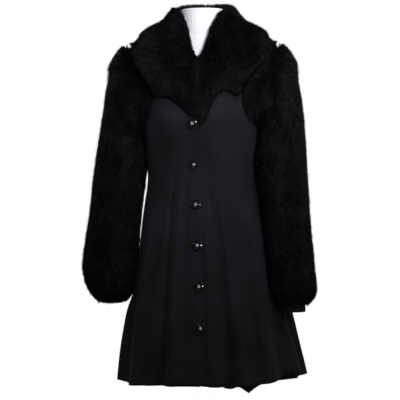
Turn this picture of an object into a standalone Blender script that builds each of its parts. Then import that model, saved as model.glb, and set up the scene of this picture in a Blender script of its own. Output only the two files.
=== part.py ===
"""A fitted, flared wool coat with fur sleeves and a fur shawl collar, worn by a limbless dress form on a stand.

The cloth is a closed wall cut into the eight panels of a princess coat, from the front edge round to the
centre back seam. Every panel is a piece of one surface, `coat_surface`, which runs through the named
sections below. The front faces -Y, up is +Z, and the origin is the middle of the base's underside.
"""

import math

import bmesh
import bpy
import numpy as np

# Cloth and pile, in metres
CLOTH = 0.0024          # lined wool coating
SEAM_GAP = 0.0003       # space between two pieces at a seam
LAP = 0.021             # how far each front runs past the centre front
LAP_STEP = 0.0032       # how far the under front lies behind the top front
PILE = 0.016            # pelt and hair of a sleeve
FLANGE_GAP = 0.0012     # sleeve and collar stand this far off the cloth at their seams

# Angles round the coat are in degrees from the centre front, growing towards the wearer's left
PRINCESS = 27.0
SIDE = 90.0
FRONT_STEP = 4.0        # spacing of the points round the front panels
SIDE_STEP = 5.4
BACK_STEP = 4.6

# Sections of the coat. The level of a section is its height at the side seam.
COAT_COLUMNS = ("level", "front_z", "back_z", "half_width", "front", "back")
COAT_ROWS = (
    (0.600, 0.597, 0.561, 0.2255, 0.192, 0.200),   # hem, dipping at the back
    (0.720, 0.719, 0.702, 0.2065, 0.178, 0.183),
    (0.840, 0.840, 0.838, 0.187, 0.160, 0.159),
    (0.960, 0.960, 0.960, 0.164, 0.139, 0.136),
    (1.040, 1.040, 1.040, 0.147, 0.121, 0.116),
    (1.090, 1.090, 1.090, 0.141, 0.112, 0.105),   # waist
    (1.150, 1.150, 1.150, 0.144, 0.120, 0.107),
    (1.220, 1.220, 1.220, 0.151, 0.137, 0.112),   # bust
    (1.270, 1.267, 1.269, 0.156, 0.133, 0.113),
    (1.320, 1.308, 1.314, 0.164, 0.119, 0.110),
    (1.360, 1.334, 1.348, 0.174, 0.107, 0.103),
    (1.392, 1.350, 1.376, 0.182, 0.099, 0.094),   # shoulder tip
    (1.408, 1.357, 1.396, 0.150, 0.093, 0.083),
    (1.426, 1.364, 1.424, 0.108, 0.087, 0.073),
    (1.444, 1.372, 1.446, 0.070, 0.082, 0.066),   # neckline
)
HEM_LEVEL = COAT_ROWS[0][0]
NECK_LEVEL = COAT_ROWS[-1][0]
LEVELS = (
    0.600, 0.643, 0.687, 0.730, 0.767, 0.808, 0.854, 0.902, 0.952, 1.003, 1.052, 1.096,
    1.136, 1.180, 1.226, 1.236, 1.262, 1.300, 1.338, 1.366, 1.384, 1.392, 1.408, 1.426, 1.444,
)

# Places where the hem hangs lower, or higher where the drop is negative
HEM_COLUMNS = ("angle", "spread", "drop")
HEM_ROWS = (
    (-58.0, 24.0, 0.009),
    (66.0, 18.0, -0.026),
    (95.0, 14.0, -0.010),
    (162.5, 5.0, 0.024),
    (177.0, 5.0, 0.018),
)
HEM_REACH = 0.10         # height over which the uneven hem evens out

# Angle of the closing line, which hangs a little off the centre front, at these levels
CLOSING_COLUMNS = ("level", "angle")
CLOSING_ROWS = (
    (0.600, 1.5),
    (0.900, 0.0),
    (1.236, -2.5),
    (1.444, -1.0),
)

# The skirt leans to the wearer's left below this height, by this much for each metre
SWAY_TOP = 1.10
SWAY_SLOPE = 0.047

# Ridges of the skirt, which fade out upwards at their start height. A negative rise is a trough.
FOLD_COLUMNS = ("angle", "spread", "rise", "start")
FOLD_ROWS = (
    (-50.0, 6.0, 0.015, 1.06),
    (-43.0, 4.0, -0.007, 0.98),
    (-35.5, 5.0, 0.011, 1.07),
    (-28.0, 5.0, -0.013, 1.08),
    (-20.0, 5.5, 0.013, 1.07),
    (-4.0, 8.0, -0.005, 0.80),
    (9.5, 5.0, 0.012, 1.05),
    (17.0, 4.5, -0.017, 1.12),
    (25.0, 5.5, 0.017, 1.10),
    (36.0, 5.0, -0.011, 1.06),
    (46.0, 6.0, 0.016, 1.07),
    (58.0, 6.0, -0.010, 0.98),
    (71.0, 7.0, 0.014, 0.90),
    (84.0, 6.0, -0.010, 0.86),
    (98.0, 7.0, 0.013, 0.92),
    (111.0, 6.0, -0.013, 1.02),
    (124.0, 6.5, 0.016, 1.06),
    (137.0, 6.0, -0.015, 1.07),
    (150.0, 6.5, 0.018, 1.07),
    (163.0, 6.0, -0.014, 1.08),
    (176.0, 6.5, 0.015, 1.07),
    (189.0, 6.0, -0.015, 1.08),
    (202.0, 6.5, 0.018, 1.07),
    (215.0, 6.0, -0.014, 1.07),
    (229.0, 6.5, 0.016, 1.06),
    (242.0, 6.0, -0.013, 1.02),
    (255.0, 6.5, 0.014, 0.95),
    (267.0, 6.0, -0.010, 0.86),
    (280.0, 6.5, 0.013, 0.90),
    (294.0, 6.0, -0.010, 0.98),
)

# Fullness over the bust, cut in by the princess seams
BUST_ANGLE = 27.0
BUST_SPREAD = 17.0
BUST_LEVEL = 1.226
BUST_REACH = 0.052
BUST_RISE = 0.009

# Armhole, an oval on the side of the coat
ARMHOLE_LOW = 1.226
ARMHOLE_HIGH = 1.392
ARMHOLE_FRONT = 42.0
ARMHOLE_BACK = 36.0
ARMHOLE_ROUND = 2.5

# Rings of the fur sleeves as the hair reaches: the outer and inner points and the front and back of each ring
SLEEVE_COLUMNS = ("out_x", "out_z", "in_x", "in_z", "front_y", "back_y")
LEFT_SLEEVE_ROWS = (
    (0.191, 1.417, 0.150, 1.206, -0.104, 0.080),
    (0.206, 1.400, 0.150, 1.199, -0.110, 0.083),
    (0.219, 1.380, 0.149, 1.190, -0.115, 0.083),
    (0.231, 1.350, 0.146, 1.180, -0.118, 0.080),
    (0.240, 1.312, 0.140, 1.167, -0.121, 0.075),
    (0.248, 1.262, 0.134, 1.148, -0.122, 0.068),
    (0.254, 1.205, 0.133, 1.122, -0.122, 0.060),
    (0.258, 1.145, 0.138, 1.090, -0.118, 0.050),
    (0.262, 1.085, 0.146, 1.050, -0.115, 0.040),
    (0.267, 1.020, 0.151, 1.005, -0.115, 0.030),
    (0.272, 0.955, 0.158, 0.955, -0.118, 0.022),
    (0.278, 0.900, 0.163, 0.900, -0.122, 0.018),
    (0.282, 0.855, 0.167, 0.855, -0.126, 0.016),
    (0.286, 0.825, 0.170, 0.825, -0.127, 0.015),
    (0.281, 0.802, 0.175, 0.800, -0.120, 0.008),
    (0.266, 0.787, 0.190, 0.787, -0.104, -0.008),
)
RIGHT_SLEEVE_ROWS = (
    (0.191, 1.417, 0.150, 1.206, -0.102, 0.084),
    (0.205, 1.400, 0.150, 1.199, -0.107, 0.087),
    (0.217, 1.380, 0.149, 1.190, -0.111, 0.087),
    (0.229, 1.350, 0.146, 1.180, -0.114, 0.084),
    (0.2375, 1.312, 0.140, 1.167, -0.116, 0.079),
    (0.2445, 1.262, 0.135, 1.148, -0.116, 0.073),
    (0.2535, 1.205, 0.134, 1.122, -0.115, 0.067),
    (0.263, 1.145, 0.138, 1.090, -0.110, 0.060),
    (0.2715, 1.085, 0.145, 1.050, -0.106, 0.052),
    (0.278, 1.020, 0.150, 1.005, -0.104, 0.045),
    (0.287, 0.955, 0.154, 0.955, -0.104, 0.040),
    (0.295, 0.900, 0.157, 0.900, -0.106, 0.036),
    (0.297, 0.868, 0.159, 0.868, -0.107, 0.034),
    (0.291, 0.840, 0.163, 0.838, -0.105, 0.031),
    (0.280, 0.812, 0.170, 0.808, -0.098, 0.024),
    (0.258, 0.789, 0.187, 0.789, -0.082, 0.008),
)
SLEEVE_SIDES = 24
FLANGE_REACH = 0.011     # how far the hair lies over the cloth round the lower armhole
FLANGE_TOP = 0.003       # the same at the shoulder tip, where the collar meets it
FLANGE_RISE = 0.007      # how far the hair swells where it leaves the armhole seam
HEAD_RISE = 0.014        # the same over the sleeve head, up to the collar's fur
HEAD_BACK = 0.0035       # and how far it swells towards the collar there
TOP_SLEEVE = (-105.0, 105.0)     # the two pieces of a sleeve, in degrees round it from its outermost line
UNDER_SLEEVE = (105.0, 255.0)
SLEEVE_CLEAR = 0.005     # space between the hanging sleeve and the skirt that it presses
PRESS_TOP = 1.10         # the skirt is pressed by the sleeves below this height
PRESS_FADE = 0.060       # the skirt springs back out over this height below a sleeve
BODY_CLEAR = 0.0030      # space between a sleeve and the bodice beside it
CUFF_TUCK = 0.016        # how far the cloth cuff reaches up inside the fur
CUFF_DROP_LEFT = 0.019   # how far it shows below the fur
CUFF_DROP_RIGHT = 0.004

# Collar, by angle: where its outer edge lies on the wearer's right and left, and how high and thick the fur stands
COLLAR_COLUMNS = ("angle", "right_edge_z", "left_edge_z", "top_z", "thick", "rim")
COLLAR_ROWS = (
    (0.0, 1.237, 1.237, 1.379, 0.024, 0.28),
    (3.0, 1.238, 1.234, 1.386, 0.025, 0.28),
    (6.0, 1.242, 1.221, 1.393, 0.027, 0.28),
    (9.0, 1.252, 1.222, 1.401, 0.029, 0.28),
    (12.0, 1.260, 1.240, 1.415, 0.030, 0.28),
    (15.0, 1.266, 1.266, 1.429, 0.031, 0.28),
    (19.0, 1.277, 1.287, 1.449, 0.033, 0.28),
    (27.0, 1.283, 1.296, 1.474, 0.036, 0.28),
    (34.0, 1.283, 1.286, 1.489, 0.038, 0.28),
    (39.0, 1.292, 1.292, 1.495, 0.039, 0.28),
    (43.0, 1.317, 1.317, 1.500, 0.040, 0.28),
    (48.0, 1.348, 1.348, 1.504, 0.042, 0.30),
    (54.0, 1.371, 1.371, 1.507, 0.043, 0.34),
    (60.0, 1.383, 1.383, 1.510, 0.043, 0.40),
    (75.0, 1.397, 1.397, 1.513, 0.044, 0.50),
    (90.0, 1.4015, 1.4015, 1.514, 0.044, 0.54),
    (105.0, 1.399, 1.399, 1.518, 0.044, 0.48),
    (120.0, 1.388, 1.388, 1.523, 0.045, 0.34),
    (135.0, 1.360, 1.360, 1.528, 0.043, 0.28),
    (150.0, 1.340, 1.340, 1.530, 0.042, 0.28),
    (180.0, 1.326, 1.326, 1.531, 0.041, 0.28),
)
COLLAR_START = 0.35      # angle of the two ends, which face each other at the centre front
ROLL_RADIUS_SIDE = 0.077
ROLL_RADIUS_BACK = 0.079
COLLAR_LIFT = 0.0045     # the edge of the fur stands this much further off the cloth than its seam
COLLAR_UNDER_POINTS = 5
COLLAR_OVER_POINTS = 8

# Dress form: its own sections below the chest, and its neck
FORM_COLUMNS = ("level", "half_width", "front", "back")
FORM_ROWS = (
    (0.800, 0.095, 0.070, 0.075),
    (0.812, 0.122, 0.088, 0.094),
    (0.850, 0.140, 0.102, 0.108),
    (0.920, 0.146, 0.105, 0.110),
    (1.000, 0.137, 0.101, 0.101),
    (1.085, 0.127, 0.096, 0.091),
    (1.150, 0.132, 0.106, 0.094),
    (1.220, 0.142, 0.122, 0.101),
)
FORM_EASE = 0.0010       # the cloth rests on the shoulders with this space
FORM_TIP_EASE = 0.0044   # extra space under the shoulder tips, which lie inside the sleeves
FORM_LEVELS = (1.270, 1.320, 1.360, 1.383, 1.392, 1.408, 1.426, 1.444)
NECK_RADIUS = 0.0555
NECK_TOP = 1.506
NECK_EDGE = 0.0025
FORM_SIDES = 32

# Stand
POLE_RADIUS = 0.0125
FLANGE_RADIUS = 0.040
FLANGE_THICK = 0.006
BASE_RADIUS = 0.175
BASE_THICK = 0.012
BOSS_RADIUS = 0.024
BOSS_HEIGHT = 0.030

# Buttons
BUTTON_COUNT = 6
BUTTON_TOP_Z = 1.2200
BUTTON_PITCH = 0.0970
BUTTON_RADIUS = 0.0122
BUTTON_SEATS = (0.0005, 0.0009, 0.0006, 0.0005, 0.0006, 0.0006)  # space under each, more in the waist
BUTTON_PROFILE = (
    (0.0000, 0.0066), (0.0042, 0.0058), (0.0066, 0.0040), (0.0092, 0.0040), (0.0108, 0.0050),
    (0.0122, 0.0036), (0.0116, 0.0016), (0.0060, 0.0000), (0.0000, 0.0000),
)
BUTTON_SIDES = 12


def columns_of(names, rows):
    """The columns of a table, by name."""
    return {name: np.array([row[i] for row in rows]) for i, name in enumerate(names)}


COAT = columns_of(COAT_COLUMNS, COAT_ROWS)
FOLDS = columns_of(FOLD_COLUMNS, FOLD_ROWS)
COLLAR = columns_of(COLLAR_COLUMNS, COLLAR_ROWS)
FORM = columns_of(FORM_COLUMNS, FORM_ROWS)
CLOSING = columns_of(CLOSING_COLUMNS, CLOSING_ROWS)
SLEEVES = {
    1: columns_of(SLEEVE_COLUMNS, LEFT_SLEEVE_ROWS),
    -1: columns_of(SLEEVE_COLUMNS, RIGHT_SLEEVE_ROWS),
}


def smooth_between(at, places, values):
    """Values at any place, on a smooth curve that never swings past its points."""
    steps = np.diff(values) / np.diff(places)
    slopes = np.concatenate([steps[:1], np.zeros(len(steps) - 1), steps[-1:]])
    same_way = steps[:-1] * steps[1:] > 0
    pairs = np.where(same_way, steps[:-1] + steps[1:], 1.0)
    slopes[1:-1] = np.where(same_way, 2 * steps[:-1] * steps[1:] / pairs, 0.0)
    i = np.clip(np.searchsorted(places, at) - 1, 0, len(places) - 2)
    width = places[i + 1] - places[i]
    t = np.clip((at - places[i]) / width, 0, 1)
    return (
        (1 + 2 * t) * (1 - t) ** 2 * values[i]
        + t * (1 - t) ** 2 * width * slopes[i]
        + t * t * (3 - 2 * t) * values[i + 1]
        + t * t * (t - 1) * width * slopes[i + 1]
    )


def ease_in(t):
    """0 below 0, 1 above 1, and smooth between."""
    t = np.clip(t, 0, 1)
    return t * t * (3 - 2 * t)


def turn_between(a, b):
    """The angle from b to a in degrees, the short way round."""
    return (a - b + 180) % 360 - 180


def fold_height(angle, z):
    """How far the skirt's ridges and troughs stand off the plain section."""
    height = np.zeros(np.broadcast(angle, z).shape)
    for ridge, spread, rise, start in FOLD_ROWS:
        growth = ease_in((start - z) / (start - HEM_LEVEL)) ** 0.8
        height += rise * growth * np.exp(-((turn_between(angle, ridge) / spread) ** 2))
    return height


def bust_height(angle, z):
    """Fullness of the two bust points."""
    across = np.exp(-((np.abs(turn_between(angle, 0)) - BUST_ANGLE) / BUST_SPREAD) ** 2)
    along = np.exp(-((z - BUST_LEVEL) / BUST_REACH) ** 2)
    return BUST_RISE * across * along


def sleeve_at(side, z):
    """Inner and outer x and front and back y of the hanging sleeve at a height."""
    rows = SLEEVES[side]
    middle_z = (rows["in_z"] + rows["out_z"]) / 2
    heights = {"in_x": rows["in_z"], "out_x": rows["out_z"], "front_y": middle_z, "back_y": middle_z}
    return [np.interp(z, heights[name][::-1], rows[name][::-1]) for name in heights]


def pressed_by_sleeves(x, y, z):
    """The x of skirt points once the two hanging sleeves have pushed the cloth in."""
    for side in (1, -1):
        low = SLEEVES[side]["out_z"].min() - CUFF_DROP_LEFT
        inner, outer, front, back = sleeve_at(side, z)
        middle_y = (front + back) / 2
        half_depth = (back - front) / 2 + SLEEVE_CLEAR
        half_width = (outer - inner) / 2 + SLEEVE_CLEAR
        across = np.clip(1 - ((y - middle_y) / half_depth) ** 2, 0, None)
        limit = (inner + outer) / 2 - half_width * np.sqrt(across)
        touched = (across > 0) & (z < PRESS_TOP) & (side * x > limit)
        pressed = ease_in((z - low + PRESS_FADE) / (PRESS_FADE - SLEEVE_CLEAR))
        x = np.where(touched, x + (side * limit - x) * pressed, x)
    return x


def hem_drop(angle, level):
    """How far the lower edge hangs below its plain line, fading out upwards."""
    drop = np.zeros(np.broadcast(angle, level).shape)
    for place, spread, fall in HEM_ROWS:
        drop += fall * np.exp(-((turn_between(angle, place) / spread) ** 2))
    return drop * ease_in(1 - (level - HEM_LEVEL) / HEM_REACH)


def plain_section(angle, level):
    """Points of the coat with no folds: x, y and z."""
    turn = np.radians(angle)
    ahead = np.cos(turn) > 0
    half, front, back, front_z, back_z = (
        smooth_between(level, COAT["level"], COAT[name])
        for name in ("half_width", "front", "back", "front_z", "back_z")
    )
    depth = np.where(ahead, front, back)
    end_z = np.where(ahead, front_z, back_z)
    z = level + (end_z - level) * np.cos(turn) ** 2 - hem_drop(angle, level)
    return half, depth, z


def coat_surface(angle, level):
    """Points of the coat's outer surface, at angles in degrees and levels in metres."""
    angle, level = np.broadcast_arrays(np.asarray(angle, float), np.asarray(level, float))
    turn = np.radians(angle)
    half, depth, z = plain_section(angle, level)
    rise = fold_height(angle, z) + bust_height(angle, z)
    sway = SWAY_SLOPE * np.clip(SWAY_TOP - z, 0, None)
    x = sway + (half + rise) * np.sin(turn)
    y = -(depth + rise) * np.cos(turn)
    x = pressed_by_sleeves(x, y, z)
    return np.stack([x, y, z], axis=-1)


def coat_normal(angle, level):
    """Unit vectors that point out of the coat."""
    turn_step, level_step = 0.4, 0.0015
    high = np.clip(np.asarray(level) + level_step, HEM_LEVEL, NECK_LEVEL)
    low = np.clip(np.asarray(level) - level_step, HEM_LEVEL, NECK_LEVEL)
    around = coat_surface(angle + turn_step, level) - coat_surface(angle - turn_step, level)
    upward = coat_surface(angle, high) - coat_surface(angle, low)
    out = np.cross(around, upward)
    return out / np.linalg.norm(out, axis=-1, keepdims=True)


def material(name, colour, roughness, metallic=0.0):
    """A plain finish with the colour of the real piece."""
    made = bpy.data.materials.get(name) or bpy.data.materials.new(name)
    made.use_nodes = True
    shader = made.node_tree.nodes["Principled BSDF"]
    shader.inputs["Base Color"].default_value = (*colour, 1.0)
    shader.inputs["Roughness"].default_value = roughness
    shader.inputs["Metallic"].default_value = metallic
    return made


def wool():
    return material("black_wool", (0.020, 0.020, 0.025), 0.9)


def black_fur():
    return material("black_fur", (0.008, 0.008, 0.009), 0.6)


def form_white():
    return material("form_white", (0.82, 0.81, 0.82), 0.5)


def stand_white():
    return material("stand_white", (0.80, 0.80, 0.80), 0.35, 0.1)


def jet():
    return material("jet_and_crystal", (0.05, 0.05, 0.055), 0.15, 0.6)


def add_object(name, mesh, finish):
    """Puts a mesh in the coat's collection as a named object."""
    mesh.materials.append(finish)
    made = bpy.data.objects.new(name, mesh)
    bpy.data.collections["coat_on_dress_form"].objects.link(made)
    return made


def grid_faces(rows, across, first, closed=False):
    """Quads between neighbouring rows of points, numbered from `first`."""
    steps = across if closed else across - 1
    faces = []
    for row in range(rows - 1):
        for i in range(steps):
            j = (i + 1) % across
            low, high = first + row * across, first + (row + 1) * across
            faces.append((low + i, low + j, high + j, high + i))
    return faces


def turned(faces):
    """The same faces, facing the other way."""
    return [tuple(reversed(face)) for face in faces]


def wall(name, outer, inner, finish):
    """A cloth panel: two open grids of points, rows upwards, joined round their rim."""
    rows, across = outer.shape[:2]
    count = rows * across
    faces = grid_faces(rows, across, 0) + turned(grid_faces(rows, across, count))
    rim = [i for i in range(across)]
    rim += [row * across + across - 1 for row in range(1, rows)]
    rim += [(rows - 1) * across + i for i in range(across - 2, -1, -1)]
    rim += [row * across for row in range(rows - 2, 0, -1)]
    for i, here in enumerate(rim):
        ahead = rim[(i + 1) % len(rim)]
        faces.append((here, count + here, count + ahead, ahead))
    points = np.concatenate([outer.reshape(-1, 3), inner.reshape(-1, 3)])
    return closed_shape(name, points, faces, finish)


def tube_wall(name, outer, inner, finish):
    """A hollow tube: closed rings of its outside, then closed rings of its inside, joined at both ends."""
    loop = np.concatenate([outer, inner[::-1], outer[:1]])
    rings, sides = loop.shape[:2]
    faces = grid_faces(rings, sides, 0, closed=True)
    last = (rings - 1) * sides
    faces = [tuple(i - last if i >= last else i for i in face) for face in faces]
    return closed_shape(name, loop[:-1].reshape(-1, 3), faces, finish)


def capped_shape(name, rings, finish):
    """A solid through closed rings of points, with a flat face at each end."""
    count, sides = rings.shape[:2]
    faces = grid_faces(count, sides, 0, closed=True)
    faces.append(tuple(range(sides)))
    faces.append(tuple((count - 1) * sides + i for i in reversed(range(sides))))
    return closed_shape(name, rings.reshape(-1, 3), faces, finish)


def closed_shape(name, points, faces, finish):
    """An object from points and faces, cut to triangles on the shorter diagonal and facing outwards."""
    mesh = bpy.data.meshes.new(name)
    mesh.from_pydata(points.tolist(), [], faces)
    work = bmesh.new()
    work.from_mesh(mesh)
    bmesh.ops.triangulate(work, faces=work.faces, quad_method="SHORT_EDGE", ngon_method="BEAUTY")
    bmesh.ops.recalc_face_normals(work, faces=work.faces)
    if work.calc_volume(signed=True) < 0:
        bmesh.ops.reverse_faces(work, faces=work.faces)
    work.to_mesh(mesh)
    work.free()
    mesh.shade_smooth()
    return add_object(name, mesh, finish)


def armhole_opening(level):
    """How far the armhole reaches to the front and the back of the side, in degrees, at a level."""
    middle = (ARMHOLE_LOW + ARMHOLE_HIGH) / 2
    half = (ARMHOLE_HIGH - ARMHOLE_LOW) / 2
    share = np.clip(1 - np.abs((level - middle) / half) ** ARMHOLE_ROUND, 0, None) ** (1 / ARMHOLE_ROUND)
    return ARMHOLE_FRONT * share, ARMHOLE_BACK * share


def half_gap_angle(angle, level):
    """Half of the seam gap as an angle at that place."""
    step = 0.5
    reach = np.linalg.norm(coat_surface(angle + step, level) - coat_surface(angle - step, level), axis=-1)
    return SEAM_GAP / 2 * (2 * step) / reach


def under_step(angle, edge):
    """How far the under front lies behind the top front at each angle."""
    return LAP_STEP * (1 - ease_in((angle - edge) / 7.0))


def panel_grid(start, end, spacing, behind=None):
    """Outer and inner points of the cloth between two edges, which may follow the armhole."""
    outer, inner = [], []
    widest = max(end(level) - start(level) for level in LEVELS)
    across = max(3, round(widest / spacing) + 1)
    for level in LEVELS:
        first = start(level) + half_gap_angle(start(level), level)
        last = end(level) - half_gap_angle(end(level), level)
        angles = np.linspace(first, last, across)
        out = coat_normal(angles, level)
        back = 0 if behind is None else behind(angles, level)[:, None]
        skin = coat_surface(angles, level) - out * back
        outer.append(skin)
        inner.append(skin - out * CLOTH)
    return np.array(outer), np.array(inner)


def closing_angle(level):
    """The angle of the line of buttons at a level."""
    return float(smooth_between(level, CLOSING["level"], CLOSING["angle"]))


def lap_angle(level):
    """How far a front edge lies past the line of buttons, in degrees."""
    half, depth, _ = plain_section(0.0, level)
    return math.degrees(math.asin(min(0.9, LAP / float(half))))


def front_side_edge(level):
    return SIDE - float(armhole_opening(level)[0])


def back_side_edge(level):
    return SIDE + float(armhole_opening(level)[1])


def steady(angle):
    """An edge that keeps one angle from hem to shoulder."""
    return lambda level: angle


def coat_panels():
    """The eight cloth panels, from the wearer's right front round the back to the left front."""
    def top_edge(level):
        return closing_angle(level) + lap_angle(level)

    def under_edge(level):
        return closing_angle(level) - lap_angle(level)

    def under_front(angles, level):
        return under_step(angles, top_edge(level))

    def right_back_edge(level):
        return 360 - back_side_edge(level)

    def right_front_edge(level):
        return 360 - front_side_edge(level)

    back_seam = 180 - PRINCESS
    cuts = (
        ("front_right", steady(-PRINCESS), top_edge, FRONT_STEP, None),
        ("front_left", under_edge, steady(PRINCESS), FRONT_STEP, under_front),
        ("side_front_left", steady(PRINCESS), front_side_edge, SIDE_STEP, None),
        ("side_back_left", back_side_edge, steady(back_seam), SIDE_STEP, None),
        ("back_left", steady(back_seam), steady(180), BACK_STEP, None),
        ("back_right", steady(180), steady(360 - back_seam), BACK_STEP, None),
        ("side_back_right", steady(360 - back_seam), right_back_edge, SIDE_STEP, None),
        ("side_front_right", right_front_edge, steady(360 - PRINCESS), SIDE_STEP, None),
    )
    for name, start, end, spacing, behind in cuts:
        wall(name, *panel_grid(start, end, spacing, behind), wool())


def sleeve_turns(part, radius):
    """Angles round a sleeve for one of its pieces, with half a seam gap left at each edge."""
    gap = SEAM_GAP / 2 / radius
    count = round((part[1] - part[0]) * SLEEVE_SIDES / 360) + 1
    return np.linspace(math.radians(part[0]) + gap, math.radians(part[1]) - gap, count)


def armhole_loop(side, part, reach, top_reach):
    """Points, normals and angles of a line on the coat, `reach` metres outside the armhole's edge."""
    turns = sleeve_turns(part, (ARMHOLE_HIGH - ARMHOLE_LOW) / 2)
    middle = (ARMHOLE_LOW + ARMHOLE_HIGH) / 2
    half = (ARMHOLE_HIGH - ARMHOLE_LOW) / 2
    reach_here = reach + (top_reach - reach) * ease_in((np.cos(turns) + 0.1) / 0.6)
    roundness = 2 / ARMHOLE_ROUND
    upward = np.sign(np.cos(turns)) * np.abs(np.cos(turns)) ** roundness
    forward = np.sign(np.sin(turns)) * np.abs(np.sin(turns)) ** roundness
    level = middle + (half + reach_here) * upward
    width = np.where(forward > 0, ARMHOLE_FRONT, ARMHOLE_BACK)
    angle = SIDE - (width + np.degrees(reach_here / 0.15)) * forward
    if side < 0:
        angle = 360 - angle
    lift = FLANGE_GAP * (1 + ease_in((np.cos(turns) - 0.2) / 0.8))
    normal = coat_normal(angle, level)
    return coat_surface(angle, level) + normal * lift[:, None], normal, turns


def sleeve_ring(side, row, inset, part=None):
    """One ring of a sleeve or of one of its pieces, `inset` metres inside the line that the hair reaches."""
    out_x, out_z, in_x, in_z, front_y, back_y = row
    outward = np.array([(out_x - in_x) / 2, 0, (out_z - in_z) / 2])
    middle = np.array([(out_x + in_x) / 2, (front_y + back_y) / 2, (out_z + in_z) / 2])
    outward *= 1 - inset / np.linalg.norm(outward)
    if part is None:
        turns = np.linspace(0, 2 * math.pi, SLEEVE_SIDES, endpoint=False)[:, None]
    else:
        turns = sleeve_turns(part, np.linalg.norm(outward))[:, None]
    forward = np.array([0, -((back_y - front_y) / 2 - inset), 0])
    points = middle + outward * np.cos(turns) + forward * np.sin(turns)
    points[:, 0] *= side
    return clear_of_body(points, inset)


def clear_of_body(points, inset):
    """Moves points of a sleeve out of the bodice beside it, inner points further than outer ones."""
    x, y, z = points.T
    gap = BODY_CLEAR + inset * ease_in((ARMHOLE_LOW + 0.014 - z) / 0.04)
    level = np.clip(z, HEM_LEVEL, NECK_LEVEL)
    half = smooth_between(level, COAT["level"], COAT["half_width"])
    depth = np.where(
        y < 0,
        smooth_between(level, COAT["level"], COAT["front"]),
        smooth_between(level, COAT["level"], COAT["back"]),
    )
    angle = np.degrees(np.arctan2(x / half, -y / depth))
    stand = fold_height(angle, z) + bust_height(angle, z) + gap
    share = np.hypot(x / (half + stand), y / (depth + stand))
    beside = ease_in((ARMHOLE_LOW + 0.036 - z) / 0.03) * ease_in((z - PRESS_TOP + 0.08) / 0.03)
    push = 1 + (np.where(share < 1, 1 / share, 1.0) - 1) * beside
    return np.stack([x * push, y * push, z], axis=-1)


def sleeve_head(side, part, first_ring):
    """The two outer lines of a sleeve at its armhole: the seam, and the swell of the hair beyond it."""
    seam, normal, turns = armhole_loop(side, part, FLANGE_REACH, FLANGE_TOP)
    rise = FLANGE_RISE * ease_in((np.cos(turns) + 0.9) / 0.8)[:, None]
    plain = (seam + first_ring) / 2 + normal * rise
    top = ease_in((np.cos(turns) - 0.55) / 0.45)[:, None]
    full = seam + np.array([-side * HEAD_BACK, 0.0, HEAD_RISE])
    return seam, plain + (full - plain) * top


def fur_sleeve(name, side, rows, part):
    """One piece of a sleeve, as thick as its pile, from the armhole to the cuff."""
    outer = list(sleeve_head(side, part, sleeve_ring(side, rows[0], 0.0, part)))
    inner = [armhole_loop(side, part, 0.0, 0.0)[0]]
    inner.append((inner[0] + sleeve_ring(side, rows[0], PILE, part)) / 2)
    for i, row in enumerate(rows):
        outer.append(sleeve_ring(side, row, 0.0, part))
        inset = PILE if i < len(rows) - 2 else PILE * (0.75 if i == len(rows) - 2 else 0.5)
        inner.append(sleeve_ring(side, row, inset, part))
    return wall(name, np.array(outer), np.array(inner), black_fur())


def cuff_band(name, side, rows, drop):
    """The cloth band inside the end of a sleeve."""
    out_x, out_z, in_x, in_z, front_y, back_y = rows[-1]
    inset = PILE * 0.5 + 0.0006
    rings = {}
    for layer, depth in (("outer", inset), ("inner", inset + CLOTH)):
        rings[layer] = []
        for height in (CUFF_TUCK, 0.0, -drop):
            row = (out_x, out_z + height, in_x, in_z + height, front_y, back_y)
            rings[layer].append(sleeve_ring(side, row, depth))
    return tube_wall(name, np.array(rings["outer"]), np.array(rings["inner"]), wool())


def level_at(angle, z):
    """The level whose section has that height at that angle."""
    levels = np.linspace(1.20, NECK_LEVEL, 120)
    heights = plain_section(angle, levels)[2]
    return float(np.interp(z, heights, levels))


def collar_section(angle):
    """The closed outline of the collar's fur at one angle round the neck."""
    short = abs(turn_between(angle, 0))
    edge_side = "left_edge_z" if turn_between(angle, 0) > 0 else "right_edge_z"
    edge_z, top_z, thick, rim = (
        float(smooth_between(short, COLLAR["angle"], COLLAR[name])) for name in (edge_side, "top_z", "thick", "rim")
    )
    edge = level_at(angle, edge_z)
    # Under side, from the neckline out to the edge
    shares = np.linspace(0, 1, COLLAR_UNDER_POINTS)
    levels = NECK_LEVEL + (edge - NECK_LEVEL) * shares
    lift = FLANGE_GAP + COLLAR_LIFT * ease_in(shares * 2)
    under = coat_surface(angle, levels) + coat_normal(angle, levels) * lift[:, None]
    # Upper side, from the edge back to the roll
    shares = np.linspace(1, 0.14, COLLAR_OVER_POINTS)
    levels = NECK_LEVEL + (edge - NECK_LEVEL) * shares
    height = COLLAR_LIFT + thick * np.clip(1 - shares ** 7, rim, None)
    over = coat_surface(angle, levels) + coat_normal(angle, levels) * height[:, None]
    # Roll, round the neck and down to the centre front
    turn = math.radians(angle)
    neck = coat_surface(angle, NECK_LEVEL)
    radius = ROLL_RADIUS_SIDE + (ROLL_RADIUS_BACK - ROLL_RADIUS_SIDE) * (short / 180)
    standing = float(ease_in((short - 2) / 30))
    roll_x = radius * math.sin(turn)
    roll_y = -radius * math.cos(turn)
    roll = np.array([roll_x, roll_y, top_z]) * standing
    roll += (neck + np.array([0, -thick * 0.45, top_z - neck[2]])) * (1 - standing)
    inside = np.array([0.83 * roll[0], 0.83 * roll[1], top_z - 0.014]) * standing
    inside += (neck + np.array([0, -thick * 0.1, (top_z - neck[2]) * 0.6])) * (1 - standing)
    return np.concatenate([under, over, [roll, inside]])


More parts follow.
